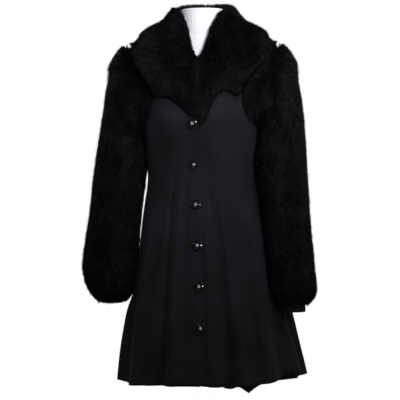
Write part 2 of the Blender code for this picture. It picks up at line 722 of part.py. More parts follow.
def fur_collar():
    """The shawl collar, from its right end round the back of the neck to its left end."""
    turns = [COLLAR_START, 3, 6, 9, 12, 15, 19, 23, 28, 34, 39, 43, 48, 53, 59, 65, 72, 79]
    turns += [86, 94, 101, 108, 116, 124, 133, 142, 151, 161, 170]
    turns = turns + [180] + [360 - turn for turn in reversed(turns)]
    rings = np.array([collar_section(turn) for turn in turns])
    return capped_shape("fur_collar", rings, black_fur())


def form_ring(half, front, back, z_side, z_front, z_back):
    """One closed ring of the dress form."""
    turns = np.linspace(0, 2 * math.pi, FORM_SIDES, endpoint=False)
    depth = np.where(np.cos(turns) > 0, front, back)
    end = np.where(np.cos(turns) > 0, z_front, z_back)
    height = z_side + (end - z_side) * np.cos(turns) ** 2
    return np.stack([half * np.sin(turns), -depth * np.cos(turns), height], axis=-1)


def dress_form():
    """Torso and neck in one closed shape, cut flat at the top of the neck and at the hips."""
    rings = []
    for level, half, front, back in FORM_ROWS:
        rings.append(form_ring(half, front, back, level, level, level))
    for level in FORM_LEVELS:
        at = [float(smooth_between(level, COAT["level"], COAT[name])) for name in COAT_COLUMNS[1:]]
        front_z, back_z, half, front, back = at
        less = CLOTH + FORM_EASE + 0.010 * float(ease_in((1.36 - level) / 0.10))
        less += FORM_TIP_EASE * math.exp(-(((level - 1.389) / 0.010) ** 2))
        front -= LAP_STEP
        drop = (CLOTH + FORM_EASE) * float(ease_in((level - 1.36) / 0.04))
        rings.append(
            form_ring(half - less, front - less, back - less, level - drop, front_z - drop, back_z - drop)
        )
    neck = NECK_RADIUS
    rings.append(form_ring(neck + 0.004, neck + 0.010, neck + 0.004, 1.456, 1.398, 1.458))
    rings.append(form_ring(neck, neck + 0.002, neck, 1.470, 1.440, 1.470))
    rings.append(form_ring(neck, neck, neck, NECK_TOP - NECK_EDGE, NECK_TOP - NECK_EDGE, NECK_TOP - NECK_EDGE))
    top = neck - NECK_EDGE
    rings.append(form_ring(top, top, top, NECK_TOP, NECK_TOP, NECK_TOP))
    return capped_shape("dress_form", np.array(rings), form_white())


def turned_piece(name, profile, sides, finish):
    """A round piece from its profile, radius and height, top to bottom down its outer side."""
    mesh = bpy.data.meshes.new(name)
    points = [(radius, 0.0, height) for radius, height in profile]
    mesh.from_pydata(points, [(i, i + 1) for i in range(len(points) - 1)], [])
    made = add_object(name, mesh, finish)
    screw = made.modifiers.new("turn", "SCREW")
    screw.axis = "Z"
    screw.angle = 2 * math.pi
    screw.steps = sides
    screw.render_steps = sides
    screw.use_merge_vertices = True
    screw.merge_threshold = 0.00005
    screw.use_smooth_shade = False
    return made


def stand():
    """Round base plate, and the pole with its foot and the plate that carries the form."""
    foot_low = BASE_THICK + SEAM_GAP
    foot_top = foot_low + BOSS_HEIGHT
    turned_piece(
        "stand_base",
        (
            (0.0, BASE_THICK), (BASE_RADIUS - 0.006, BASE_THICK),
            (BASE_RADIUS, BASE_THICK - 0.005), (BASE_RADIUS, 0.0), (0.0, 0.0),
        ),
        48,
        stand_white(),
    )
    plate_top = FORM_ROWS[0][0] - SEAM_GAP
    plate_low = plate_top - FLANGE_THICK
    turned_piece(
        "stand_pole",
        (
            (0.0, plate_top), (FLANGE_RADIUS, plate_top), (FLANGE_RADIUS, plate_low),
            (POLE_RADIUS + 0.006, plate_low - 0.004), (POLE_RADIUS, plate_low - 0.012),
            (POLE_RADIUS, foot_top), (BOSS_RADIUS - 0.003, foot_top), (BOSS_RADIUS, foot_top - 0.003),
            (BOSS_RADIUS + 0.004, foot_low), (0.0, foot_low),
        ),
        24,
        stand_white(),
    )


def buttons():
    """Six shank buttons down the centre front, each square to the cloth under it."""
    for i in range(BUTTON_COUNT):
        z = BUTTON_TOP_Z - i * BUTTON_PITCH
        made = turned_piece(f"button_{i + 1}", BUTTON_PROFILE, BUTTON_SIDES, jet())
        seat = coat_surface(closing_angle(z), z)
        out = coat_normal(closing_angle(z), z)
        made.location = seat + out * BUTTON_SEATS[i]
        tilt = math.acos(float(out[2]))
        made.rotation_euler = (0.0, tilt, math.atan2(float(out[1]), float(out[0])))


def clear_scene():
    for old in list(bpy.data.objects):
        bpy.data.objects.remove(old)
    group = bpy.data.collections.new("coat_on_dress_form")
    bpy.context.scene.collection.children.link(group)


def main():
    clear_scene()
    coat_panels()
    fur_sleeve("top_sleeve_left", 1, LEFT_SLEEVE_ROWS, TOP_SLEEVE)
    fur_sleeve("under_sleeve_left", 1, LEFT_SLEEVE_ROWS, UNDER_SLEEVE)
    fur_sleeve("top_sleeve_right", -1, RIGHT_SLEEVE_ROWS, TOP_SLEEVE)
    fur_sleeve("under_sleeve_right", -1, RIGHT_SLEEVE_ROWS, UNDER_SLEEVE)
    cuff_band("cuff_left", 1, LEFT_SLEEVE_ROWS, CUFF_DROP_LEFT)
    cuff_band("cuff_right", -1, RIGHT_SLEEVE_ROWS, CUFF_DROP_RIGHT)
    fur_collar()
    buttons()
    dress_form()
    stand()


main()
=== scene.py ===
# %% [markdown]
# # A wool coat with fur sleeves and a fur shawl collar
# The coat is made in the order in which it catches the eye: first the camera and the light, then
# the wool panels, then the fur, then the small jet buttons, and last the form and its stand. The
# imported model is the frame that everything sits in. Lengths are in metres, the front faces -Y, and
# the wearer's left is at +X.

# %% Load the fixed frame
import math

import bmesh
import bpy
import numpy as np
from mathutils import Matrix, Vector
from mathutils.bvhtree import BVHTree
from mathutils.kdtree import KDTree


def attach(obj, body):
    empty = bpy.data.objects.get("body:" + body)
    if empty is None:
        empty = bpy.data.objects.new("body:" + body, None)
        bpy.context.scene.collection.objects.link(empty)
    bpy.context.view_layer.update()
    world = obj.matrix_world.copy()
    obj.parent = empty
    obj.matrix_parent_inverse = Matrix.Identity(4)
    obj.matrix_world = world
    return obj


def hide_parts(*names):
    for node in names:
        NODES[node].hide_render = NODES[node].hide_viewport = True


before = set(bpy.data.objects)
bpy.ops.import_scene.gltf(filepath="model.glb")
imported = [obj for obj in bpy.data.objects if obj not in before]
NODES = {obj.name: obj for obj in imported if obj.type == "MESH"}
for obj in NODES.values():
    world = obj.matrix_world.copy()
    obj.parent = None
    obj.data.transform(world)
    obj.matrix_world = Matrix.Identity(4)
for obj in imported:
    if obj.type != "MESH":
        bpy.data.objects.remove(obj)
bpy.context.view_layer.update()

# %% [markdown]
# ## Camera
# The picture was taken from nearly straight ahead, a little to the wearer's left, with a long lens.
# From 4 m away the sides of the coat stay almost parallel, as they do in the picture. `aimed` turns
# a camera or a lamp until it looks at a point.

# %% Camera
TARGET = Vector((-0.0085, 0.0, 1.0372))
TURN = math.radians(8.5)
DISTANCE = 4.0
LENS, SENSOR = 145.7, 36.0


def aimed(piece, place, target):
    """Puts a lamp or camera at a place, looking at the target."""
    piece.location = place
    piece.rotation_euler = (Vector(target) - Vector(place)).to_track_quat("-Z", "Y").to_euler()
    return piece


bpy.ops.object.camera_add()
camera = bpy.context.object
camera.name = "camera"
camera.data.lens = LENS
camera.data.sensor_width = SENSOR
eye = TARGET + Vector((math.sin(TURN), -math.cos(TURN), 0.0)) * DISTANCE
aimed(camera, eye, TARGET)
bpy.context.scene.camera = camera
bpy.context.scene.view_settings.view_transform = "Standard"
print("camera at", [round(v, 3) for v in camera.location])

# %% [markdown]
# ## Small tools for materials
# A material is a small tree of nodes. `add_node` adds one node with its settings and links in one
# call, `hex_colour` turns a colour as a screen shows it into the linear numbers that the shader
# wants, and the last three say what a pattern is for: where it sits, what it colours and how far it
# rises.

# %% Node tools
def hex_colour(text):
    """Linear RGBA of an sRGB colour such as 1a1a1e."""
    parts = [int(text[i:i + 2], 16) / 255 for i in (0, 2, 4)]
    return (*[c / 12.92 if c <= 0.04045 else ((c + 0.055) / 1.055) ** 2.4 for c in parts], 1.0)


def add_node(made, kind, links=(), **settings):
    """Adds a node. A setting is a property or an input; a link is (input, from_node, output).

    The stops of a colour ramp are (place, colour) pairs."""
    node = made.node_tree.nodes.new(kind)
    stops = settings.pop("stops", ())
    for i, (place, colour) in enumerate(stops):
        points = node.color_ramp.elements
        while len(points) < len(stops):
            points.new(0.5)
        points[i].position = place
        points[i].color = hex_colour(colour)
    for name, value in settings.items():
        if hasattr(node, name):
            setattr(node, name, value)
        else:
            node.inputs[name.replace("_", " ")].default_value = value
    for into, source, out in links:
        made.node_tree.links.new(source.outputs[out], node.inputs[into])
    return node

# %% Material tools
def new_material(name, **shader):
    """A material with a Principled shader, and its values by socket name."""
    made = bpy.data.materials.new(name)
    made.use_nodes = True
    principled = made.node_tree.nodes["Principled BSDF"]
    for socket, value in shader.items():
        principled.inputs[socket.replace("_", " ")].default_value = value
    return made


def feed(made, socket, source, out):
    """Links a node into the Principled shader."""
    shader = made.node_tree.nodes["Principled BSDF"]
    made.node_tree.links.new(source.outputs[out], shader.inputs[socket])


def on_object(made, kind, **settings):
    """A pattern that keeps its real size and its place on the piece."""
    place = add_node(made, "ShaderNodeTexCoord")
    return add_node(made, kind, [("Vector", place, "Object")], **settings)


def coloured(made, pattern, out, stops, socket="Base Color"):
    """Turns the values of a pattern into colours, or into shades of grey for another socket."""
    shade = add_node(made, "ShaderNodeValToRGB", [("Fac", pattern, out)], stops=stops)
    feed(made, socket, shade, "Color")


def raised(made, pattern, strength, distance):
    """Lets a pattern rise from the surface by a distance in metres."""
    height = [("Height", pattern, "Fac")]
    bump = add_node(made, "ShaderNodeBump", height, Strength=strength, Distance=distance)
    feed(made, "Normal", bump, "Normal")

# %% [markdown]
# ## Backdrop and lamps
# Black cloth before white is hard to light. If the backdrop lights the coat, its folds go flat, so
# the world is white only for rays that come straight from the camera and dim for all others. Area
# lamps then work as softboxes do in a studio: a key lamp above the front, a beam on the chest, two
# soft lamps in front, two behind that draw the rim of the fur, and a thin beam up along the white
# pole.

# %% Lamps
# Columns: name, place, point it looks at, size, power in watts, spread in degrees
LAMP_ROWS = (
    ("key_lamp", (0.60, -0.85, 2.60), (0.0, 0.0, 1.30), 0.5, 24.0, 180.0),
    ("chest_lamp", (1.00, -2.40, 1.85), (0.08, 0.0, 1.54), 0.7, 4.6, 32.0),
    ("soft_lamp_left", (-2.3, -1.6, 2.4), (0.0, 0.0, 1.2), 1.0, 9.0, 180.0),
    ("soft_lamp_right", (2.3, -1.4, 2.4), (0.0, 0.0, 1.2), 1.0, 5.0, 180.0),
    ("rim_lamp_left", (-1.8, 1.3, 2.4), (-0.2, 0.0, 1.2), 0.8, 8.0, 180.0),
    ("rim_lamp_right", (1.9, 0.9, 2.4), (0.2, 0.0, 1.2), 0.8, 9.0, 180.0),
    ("pole_lamp", (0.03, -0.17, 0.06), (0.0, 0.0, 0.56), 0.05, 0.3, 14.0),
)
print("lamps:", len(LAMP_ROWS))

# %% Hang the backdrop and the lamps
BACKDROP = 1.0
SURROUND_LIGHT = 0.14
WHITE = (1.0, 1.0, 1.0, 1.0)
world = bpy.data.worlds.new("white_studio")
world.use_nodes = True
seen = add_node(world, "ShaderNodeLightPath")
camera_ray = [("Value", seen, "Is Camera Ray")]
level = add_node(world, "ShaderNodeMapRange", camera_ray, To_Min=SURROUND_LIGHT, To_Max=BACKDROP)
sky = world.node_tree.nodes["Background"]
world.node_tree.links.new(level.outputs["Result"], sky.inputs["Strength"])
sky.inputs["Color"].default_value = WHITE
bpy.context.scene.world = world
for name, place, target, size, power, spread in LAMP_ROWS:
    bpy.ops.object.light_add(type="AREA")
    lamp = bpy.context.object
    lamp.name = name
    lamp.data.shape = "DISK"
    lamp.data.size = size
    lamp.data.energy = power
    lamp.data.spread = math.radians(spread)
    aimed(lamp, place, target)
print("backdrop", BACKDROP, "surround light", SURROUND_LIGHT)

# %% Floor
FLOOR_RADIUS = 3.0
bpy.ops.mesh.primitive_circle_add(vertices=96, radius=FLOOR_RADIUS, fill_type="NGON")
floor = bpy.context.object
floor.name = "studio_floor"
print("floor:", FLOOR_RADIUS, "m round")

# %% [markdown]
# ## Wool and lining
# The wool is a milled coating, so a felted nap hides its weave and it needs no thread pattern. A
# fine noise, drawn out downwards as the nap is brushed, stands for the fibres, and a wide one for
# the faint clouds that brushing leaves. Sheen is the light that the fibre ends catch. The lining is
# a satin with a fine slanting twill line. Real fibres are too fine to show, so both patterns are
# drawn coarser.

# %% Wool and lining materials
NAP_SCALE = 900.0  # tufts of 1.1 mm; a real fibre is 0.02 mm
NAP_DRAWN_OUT = (1.0, 1.0, 0.30)
CLOUD_SCALE = 14.0  # clouds of 70 mm
TWILL_SCALE = 420.0  # twill lines 0.9 mm apart; real ones are 0.5 mm

# Milled wool coating: a fine nap over a hidden weave, blue-black, with a soft sheen
WOOL = new_material(
    "wool_coating_milled", Roughness=0.90, Specular_IOR_Level=0.08, Sheen_Weight=0.06,
    Sheen_Roughness=0.40, Sheen_Tint=hex_colour("a09cb4"),
)
nap = on_object(WOOL, "ShaderNodeMapping", Scale=NAP_DRAWN_OUT)
fibres = add_node(
    WOOL, "ShaderNodeTexNoise", [("Vector", nap, "Vector")], Scale=NAP_SCALE, Detail=3.0,
)
cloudy = on_object(WOOL, "ShaderNodeTexNoise", Scale=CLOUD_SCALE, Detail=4.0)
both = [(0, fibres, "Fac"), (1, cloudy, "Fac")]
tone = add_node(WOOL, "ShaderNodeMath", both, operation="MULTIPLY")
coloured(WOOL, tone, "Value", [(0.12, "0e0d10"), (0.26, "141317"), (0.42, "1b1a1f")])
raised(WOOL, fibres, 0.35, 0.0006)
# Lining satin, with a fine twill line
LINING = new_material("satin_lining_twill", Roughness=0.38, Specular_IOR_Level=0.35)
twill = on_object(
    LINING, "ShaderNodeTexWave", Scale=TWILL_SCALE, Distortion=0.6, bands_direction="DIAGONAL",
)
coloured(LINING, twill, "Fac", [(0.2, "101013"), (0.8, "1b1b20")])
raised(LINING, twill, 0.2, 0.0003)
print("cloth:", WOOL.name, LINING.name)

# %% [markdown]
# ## Pelt and hair
# Dyed fur has two kinds of hair: dense matt underhair, and longer guard hair that shines a little.
# The colour follows the hair's own UV map: V runs from root to tip, and each hair is darker at its
# root than at its tip; U is the tone of the single hair, which keeps ten thousand black hairs from
# reading as one black mass.

# %% Pelt and hair materials
PELT_WOOL_SCALE = 350.0  # curls of 3 mm


def fur_hair(name, root, body, tip, roughness, specular):
    """Hair, darkest at its root. The map's U is the tone of a hair, and V runs from root to tip."""
    made = new_material(name, Roughness=roughness, Specular_IOR_Level=specular)
    hair_map = add_node(made, "ShaderNodeUVMap", uv_map="OFBake")
    parts = add_node(made, "ShaderNodeSeparateXYZ", [("Vector", hair_map, "UV")])
    dark_root = [(0.0, root), (0.45, body), (1.0, tip)]
    along = add_node(made, "ShaderNodeValToRGB", [("Fac", parts, "Y")], stops=dark_root)
    each_hair = [(0.0, "8c8c8c"), (0.7, "c4c4c4"), (1.0, "ffffff")]
    tone = add_node(made, "ShaderNodeValToRGB", [("Fac", parts, "X")], stops=each_hair)
    both = add_node(
        made, "ShaderNodeMix", [(6, along, "Color"), (7, tone, "Color")], data_type="RGBA",
        blend_type="MULTIPLY",
    )
    both.inputs[0].default_value = 1.0
    feed(made, "Base Color", both, 2)
    return made


# The pelt under the hair, dyed black, with a short dense underwool
PELT = new_material("pelt_underwool", Roughness=0.95, Specular_IOR_Level=0.05)
wool = on_object(PELT, "ShaderNodeTexNoise", Scale=PELT_WOOL_SCALE, Detail=5.0)
coloured(PELT, wool, "Fac", [(0.35, "060607"), (0.7, "0f0f11")])
raised(PELT, wool, 0.6, 0.002)
UNDER_HAIR = fur_hair("fur_underhair_matt", "0c0b0d", "100f11", "131215", 0.80, 0.05)
GUARD_HAIR = fur_hair("fur_guard_hair_glossy", "0b0a0c", "0e0d10", "121114", 0.50, 0.07)
print("fur:", PELT.name, UNDER_HAIR.name, GUARD_HAIR.name)

# %% [markdown]
# ## The wool panels
# A princess coat has eight panels, cut narrow at the waist and wide at the hem, so the skirt falls
# into long folds. A cloth simulation would give other folds than the picture's, so they are put in
# one by one: each row of the table is one trough or ridge at an angle round the coat and a height,
# with its own length, width and depth. Both faces of the cloth move together, so its thickness
# stays the same.

# %% Creases of the cloth
# Columns: degrees round the coat; height, half length, half width and depth in mm; slant in degrees
CREASE_ROWS = (
    # Long crisp folds that fall from under the waist to the hem
    (-52, 800, 240, 6.8, 4.2, 0),
    (-43.5, 760, 240, 8.5, -3.4, 1),
    (-35, 945, 115, 5.2, 4, 2),
    (-28, 790, 230, 8.5, -3, -1),
    (-20.4, 830, 245, 5.6, 4.6, 0.5),
    (-12.5, 840, 200, 7.5, -2.8, 0),
    (2.5, 780, 220, 7, -2, 0.5),
    (8.2, 820, 170, 5.2, 3.4, 1),
    (15.5, 850, 250, 8.2, -4.6, 0),
    (25, 840, 260, 7.6, 5, 0),
    (34.5, 820, 220, 8.8, -4, 1),
    (46, 820, 260, 6, 4.6, 0),
    (54, 780, 200, 8.5, -3.4, -1),
    (64, 740, 210, 7.2, 3.6, 1),
    (81, 780, 230, 6.8, 4, -1),
    (99, 740, 220, 8.5, -3.6, 1),
    (109, 800, 250, 6.6, 4.4, 0),
    (124, 760, 220, 8, -3.4, 1),
    (138, 820, 240, 6, 4.2, -1),
    (152, 760, 200, 7.6, 3.4, 1),
    (165, 840, 230, 8.5, -3.8, 0),
    (176, 780, 220, 5.8, 4, 0.5),
    (197, 800, 240, 6.6, 4.2, -0.5),
    (212, 760, 210, 8.5, -3.6, 1),
    (221, 820, 240, 6, 4, 0),
    (236, 760, 200, 8, -3.4, -1),
    (251, 800, 230, 6.6, 4.2, 1),
    (270, 760, 220, 8.5, -3.6, 0),
    (279, 780, 230, 6.2, 4, -1),
    (295, 780, 210, 8, -3, 0.5),
    # Drag lines that leave the waist towards the hips, in front
    (-16, 1035, 60, 7, -1.6, 16),
    (-33, 1005, 85, 9, -2.2, 8),
    (-24, 905, 130, 11, 2, -3),
    (15, 1020, 75, 8, -1.8, -14),
    (31, 1000, 90, 9, -2.1, -9),
    (21, 870, 150, 11, 2.2, 4),
    (-9, 770, 120, 10, -1.6, 5),
    (5, 700, 100, 12, 1.8, -4),
    (-45, 760, 110, 10, 1.7, 6),
    (41, 740, 130, 11, -2, -6),
    # Short folds at the waist, where the fitted cloth gives way to the flare
    (-20, 1092, 30, 6, -1.3, 68),
    (-36, 1082, 34, 6.5, -1.4, 74),
    (19, 1088, 32, 6, -1.3, -66),
    (34, 1096, 36, 6.5, -1.5, -72),
    (62, 1085, 40, 7, -1.5, 80),
    (-63, 1090, 38, 7, -1.5, -80),
    # Softer ones at the sides and over the back
    (70, 820, 120, 12, -2, 5),
    (92, 900, 100, 11, 1.8, -8),
    (118, 960, 100, 10, -2, 9),
    (131, 780, 140, 12, 2.2, -4),
    (146, 1050, 60, 8, -1.6, 18),
    (158, 860, 130, 11, -1.9, 6),
    (171, 1080, 34, 6.5, -1.3, 76),
    (183, 740, 110, 12, 2, 3),
    (191, 1086, 32, 6, -1.3, -72),
    (205, 930, 110, 10, -2, -7),
    (214, 1050, 55, 8, -1.5, -20),
    (228, 760, 130, 12, 2, 5),
    (243, 900, 110, 11, -1.9, 8),
    (262, 980, 80, 10, -1.6, -6),
    (286, 850, 120, 12, 1.9, 7),
)
COAT_RADIUS = 0.165
SWAY_TOP, SWAY_SLOPE = 1.10, 0.047  # below this height the skirt hangs askew, to the wearer's left
print("creases:", len(CREASE_ROWS))

# %% Crease tools


def crease_depth(angle, height):
    """How far the creases move the cloth at points given by angle and height."""
    depth = np.zeros_like(angle)
    for middle, *sizes, slant in CREASE_ROWS:
        level, half_length, half_width, rise = [size / 1000 for size in sizes]
        across = np.radians((angle - middle + 180) % 360 - 180) * COAT_RADIUS
        up = height - level
        lean = math.radians(slant)
        along = up * math.cos(lean) + across * math.sin(lean)
        aside = across * math.cos(lean) - up * math.sin(lean)
        depth += rise * np.exp(-((along / half_length) ** 4) - (aside / half_width) ** 2)
    return depth


def points_of(mesh):
    """The vertices of a mesh as an array."""
    flat = np.empty(len(mesh.vertices) * 3, np.float32)
    mesh.vertices.foreach_get("co", flat)
    return flat.reshape(-1, 3).astype(float)


def set_points(mesh, points):
    """Puts an array back into the vertices of a mesh."""
    mesh.vertices.foreach_set("co", points.astype(np.float32).ravel())
    mesh.update()


def creased(mesh):
    """Moves the points of a cloth panel in or out from the coat's upright line."""
    points = points_of(mesh)
    x, y, z = points.T
    middle_x = SWAY_SLOPE * np.clip(SWAY_TOP - z, 0, None)
    angle = np.degrees(np.arctan2(x - middle_x, -y))
    outward = np.stack([x - middle_x, y, np.zeros_like(x)], axis=1)
    outward /= np.linalg.norm(outward, axis=1, keepdims=True)
    set_points(mesh, points + outward * crease_depth(angle, z)[:, None])


def looks_out(face):
    """How far a face of the coat looks away from the coat's upright line, from -1 to 1."""
    x = face.center.x - SWAY_SLOPE * max(0.0, SWAY_TOP - face.center.z)
    out = face.normal.x * x + face.normal.y * face.center.y
    return out / max(math.hypot(x, face.center.y), 1e-9)

# %% [markdown]
# ## From a node to a soft panel
# A node of the frame comes as flat triangles. Merged, joined to quads and smoothed with a
# subdivision surface it reads as cloth. Subdivision melts sharp rims, so edges over a set angle are
# creased first. The 0.3 mm seams of the frame let light through, so the rims then move towards
# their neighbours.

# %% Copy a node
MERGE_NEAR = 1e-6
FLAT_ENOUGH = math.radians(35)


def new_piece(name, mesh):
    """An object at the origin that shows a mesh."""
    piece = bpy.data.objects.new(name, mesh)
    bpy.context.scene.collection.objects.link(piece)
    return piece


def copy_of(node, name):
    """A whole, quad-faced copy of a node of the frame."""
    mesh = NODES[node].data.copy()
    mesh.name = name
    mesh.materials.clear()
    work = bmesh.new()
    work.from_mesh(mesh)
    bmesh.ops.remove_doubles(work, verts=work.verts, dist=MERGE_NEAR)
    bmesh.ops.join_triangles(
        work, faces=work.faces, angle_face_threshold=FLAT_ENOUGH, angle_shape_threshold=math.pi,
    )
    for edge in work.edges:
        edge.smooth = True
    work.to_mesh(mesh)
    work.free()
    return new_piece(name, mesh)

# %% Round a piece
RIM = 1
RIM_ANGLE = 55.0
REACH_STEPS, REACH_SHARE = 3, 0.8


def rounded(piece, levels, sharp=RIM_ANGLE, full_size=False):
    """Rounds a piece with a subdivision surface that keeps its rims, and gives those the index RIM.

    Rounding pulls a surface in, so `full_size` first pushes the corners out until it meets them."""
    work = bmesh.new()
    work.from_mesh(piece.data)
    layers = work.edges.layers.float
    layer = layers.get("crease_edge") or layers.new("crease_edge")
    for edge in work.edges:
        if len(edge.link_faces) == 2 and edge.calc_face_angle() > math.radians(sharp):
            edge[layer] = 1.0
    for face in work.faces:
        face.material_index = RIM if sum(edge[layer] for edge in face.edges) >= 2.0 else 0
    work.to_mesh(piece.data)
    work.free()
    smoother = piece.modifiers.new("round", "SUBSURF")
    smoother.levels = levels
    smoother.render_levels = levels
    goal = points_of(piece.data)
    for _ in range(REACH_STEPS if full_size else 0):
        round_now = points_of(piece.evaluated_get(bpy.context.evaluated_depsgraph_get()).data)
        push = REACH_SHARE * (goal - round_now[:len(goal)])
        set_points(piece.data, points_of(piece.data) + push)
    bpy.ops.object.select_all(action="DESELECT")
    bpy.context.view_layer.objects.active = piece
    piece.select_set(True)
    bpy.ops.object.modifier_apply(modifier="round")
    piece.data.shade_smooth()

# %% Close the seams and line the coat
SEAM_CLOSE = 0.00024
UPRIGHT = 0.5


def seams_closed(mesh):
    """Moves the upright rims of a panel towards its neighbours, so that no light comes through."""
    points = points_of(mesh)
    push = np.zeros_like(points)
    for face in mesh.polygons:
        way = np.array(face.normal)
        if face.material_index == RIM and abs(way[2]) < UPRIGHT:
            push[list(face.vertices)] += way
    on_rim = np.linalg.norm(push, axis=1) > 0
    push[on_rim] /= np.linalg.norm(push[on_rim], axis=1, keepdims=True)
    set_points(mesh, points + push * SEAM_CLOSE)


HEM_TURN = 0.045
FACING = 0.3  # a face that looks in or out by more than this isn't on a rim


def line_inside(piece):
    """Gives the inner face of a panel its lining, from just above the turned hem."""
    piece.data.materials.append(WOOL)
    piece.data.materials.append(LINING)
    low = min(v.co.z for v in piece.data.vertices)
    for face in piece.data.polygons:
        inner = looks_out(face) < -FACING
        face.material_index = 1 if inner and face.center.z > low + HEM_TURN else 0

# %% Eight panels
# Columns: node, flat width, flat length, flat area
PANEL_ROWS = (
    ("front_right", 0.165, 0.800, 0.085),
    ("front_left", 0.165, 0.800, 0.089),
    ("side_front_left", 0.320, 0.870, 0.138),
    ("side_back_left", 0.330, 0.880, 0.144),
    ("back_left", 0.170, 0.890, 0.080),
    ("back_right", 0.170, 0.890, 0.079),
    ("side_back_right", 0.330, 0.880, 0.143),
    ("side_front_right", 0.320, 0.870, 0.140),
)
PANELS = {}
for node, width, length, area in PANEL_ROWS:
    panel = copy_of(node, node + "_wool")
    rounded(panel, 2)
    creased(panel.data)
    seams_closed(panel.data)
    line_inside(panel)
    PANELS[node] = panel
    print(node, len(panel.data.polygons), "faces")

# %% [markdown]
# ## Bound buttonholes
# A bound buttonhole is a slit between two narrow folds of the same cloth, and the button hides most
# of it. Cutting a curved panel is hard to keep clean, so each fold is a slim tube laid on the
# cloth: rays find the surface along the slit, and a ring of points goes round each hit.

# %% Bound buttonholes
BUTTON_COUNT = 6
HOLE_LENGTH = 0.027
HOLE_PAST_SHANK = 0.003
LIP_HALF_WIDTH = 0.0012
LIP_HALF_THICK = 0.0007
LIP_SIDES, LIP_STEPS = 8, 14


def button_place(node):
    """The middle of a plain button's back and the way that it faces, from its points."""
    points = points_of(NODES[node].data)
    middle = points.mean(axis=0)
    axis = np.linalg.svd(points - middle, full_matrices=False)[2][2]
    axis *= -np.sign(axis[1])
    along = (points - middle) @ axis
    return Vector(middle + axis * along.min()), Vector(axis)


def lip(cloth, start, end, z):
    """The points and faces of one folded lip of a buttonhole, sunk halfway into the cloth."""
    points, faces, sides, steps = [], [], LIP_SIDES, LIP_STEPS
    for i in range(steps + 1):
        taper = math.sin(math.pi * min(1.0, max(0.0, 0.06 + 0.88 * i / steps))) ** 0.25
        origin = Vector((start + (end - start) * i / steps, -0.5, z))
        spot, out, _, _ = cloth.ray_cast(origin, Vector((0.0, 1.0, 0.0)))
        up = Vector((0.0, 0.0, 1.0))
        for k in range(sides):
            turn = 2 * math.pi * k / sides
            rim = up * math.cos(turn) * LIP_HALF_WIDTH + out * math.sin(turn) * LIP_HALF_THICK
            points.append(spot + rim * taper)
    for i in range(steps):
        for k in range(sides):
            j = (k + 1) % sides
            faces.append((i * sides + k, (i + 1) * sides + k, (i + 1) * sides + j, i * sides + j))
    faces.append(tuple(range(sides)))
    faces.append(tuple(steps * sides + k for k in reversed(range(sides))))
    return points, faces


def buttonholes(cloth_piece):
    """Two lips for each button, running from just past its shank away from the coat's edge."""
    mesh = cloth_piece.data
    cloth = BVHTree.FromPolygons(
        [tuple(v.co) for v in mesh.vertices], [tuple(f.vertices) for f in mesh.polygons],
    )
    points, faces = [], []
    for i in range(BUTTON_COUNT):
        seat, _ = button_place(f"button_{i + 1}")
        for side in (-1, 1):
            more, ring = lip(
                cloth, seat.x + HOLE_PAST_SHANK, seat.x + HOLE_PAST_SHANK - HOLE_LENGTH,
                seat.z + side * LIP_HALF_WIDTH,
            )
            faces += [tuple(k + len(points) for k in face) for face in ring]
            points += more
    mesh = bpy.data.meshes.new("bound_buttonholes")
    mesh.from_pydata(points, [], faces)
    mesh.materials.append(WOOL)
    mesh.shade_smooth()
    return new_piece("bound_buttonholes", mesh)


holes = buttonholes(PANELS["front_right"])
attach(holes, "root")
print("buttonholes:", len(holes.data.polygons), "faces")

for node, width, length, area in PANEL_ROWS:
    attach(PANELS[node], "root")
    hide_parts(node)

for node, width, length in (("cuff_left", 0.240, 0.034), ("cuff_right", 0.240, 0.019)):
    cuff = copy_of(node, node + "_wool")
    rounded(cuff, 2)
    for face in cuff.data.polygons:
        face.material_index = 0
    cuff.data.materials.append(WOOL)
    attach(cuff, "root")
    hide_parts(node)

# %% [markdown]
# ## The fur
# Fur is a pelt with hair on it. Blender's own hair isn't a mesh, so it would be lost when the piece
# is exported; here each hair is a slim curved blade of three triangles. The node in the frame
# reaches as far as the hair does, so the pelt lies a pile's depth below it. Two search trees over
# the coat keep pelt and hair clear of the wool under them.

# %% The coat under the fur
CLOTH_NEAR, CLOTH_CLEAR = 0.009, 0.0018


def unit(vectors):
    """Vectors of length one."""
    return vectors / np.maximum(np.linalg.norm(vectors, axis=1, keepdims=True), 1e-9)


def coat_tree(outside_only):
    """A search tree over the plain panels of the frame, or over their outer faces only."""
    corners, faces = [], []
    for node, *_ in PANEL_ROWS:
        mesh = NODES[node].data
        for face in mesh.polygons:
            if not outside_only or looks_out(face) > FACING:
                faces.append(tuple(i + len(corners) for i in face.vertices))
        corners += [tuple(v.co) for v in mesh.vertices]
    return BVHTree.FromPolygons(corners, faces)


PANEL_TREE = coat_tree(False)
CLOTH_OUTSIDE = coat_tree(True)


def off_the_cloth(places):
    """Keeps hair that hangs over the coat clear of its cloth."""
    moved = places.copy()
    for i, place in enumerate(places):
        near, out, _, far = CLOTH_OUTSIDE.find_nearest(place)
        if far < CLOTH_NEAR and (Vector(place) - near).dot(out) < CLOTH_CLEAR:
            moved[i] = near + out * CLOTH_CLEAR
    return moved


print("panels under the fur:", len(PANEL_ROWS))

# %% Skin of the fur: the surface that the hair reaches
SKIN_RIM = 62.0
PELT_OVER_CLOTH, PELT_CLOTH_SHARE = 0.0008, 0.8
EDGE_SHARE, EDGE_MOST = 0.60, 0.009


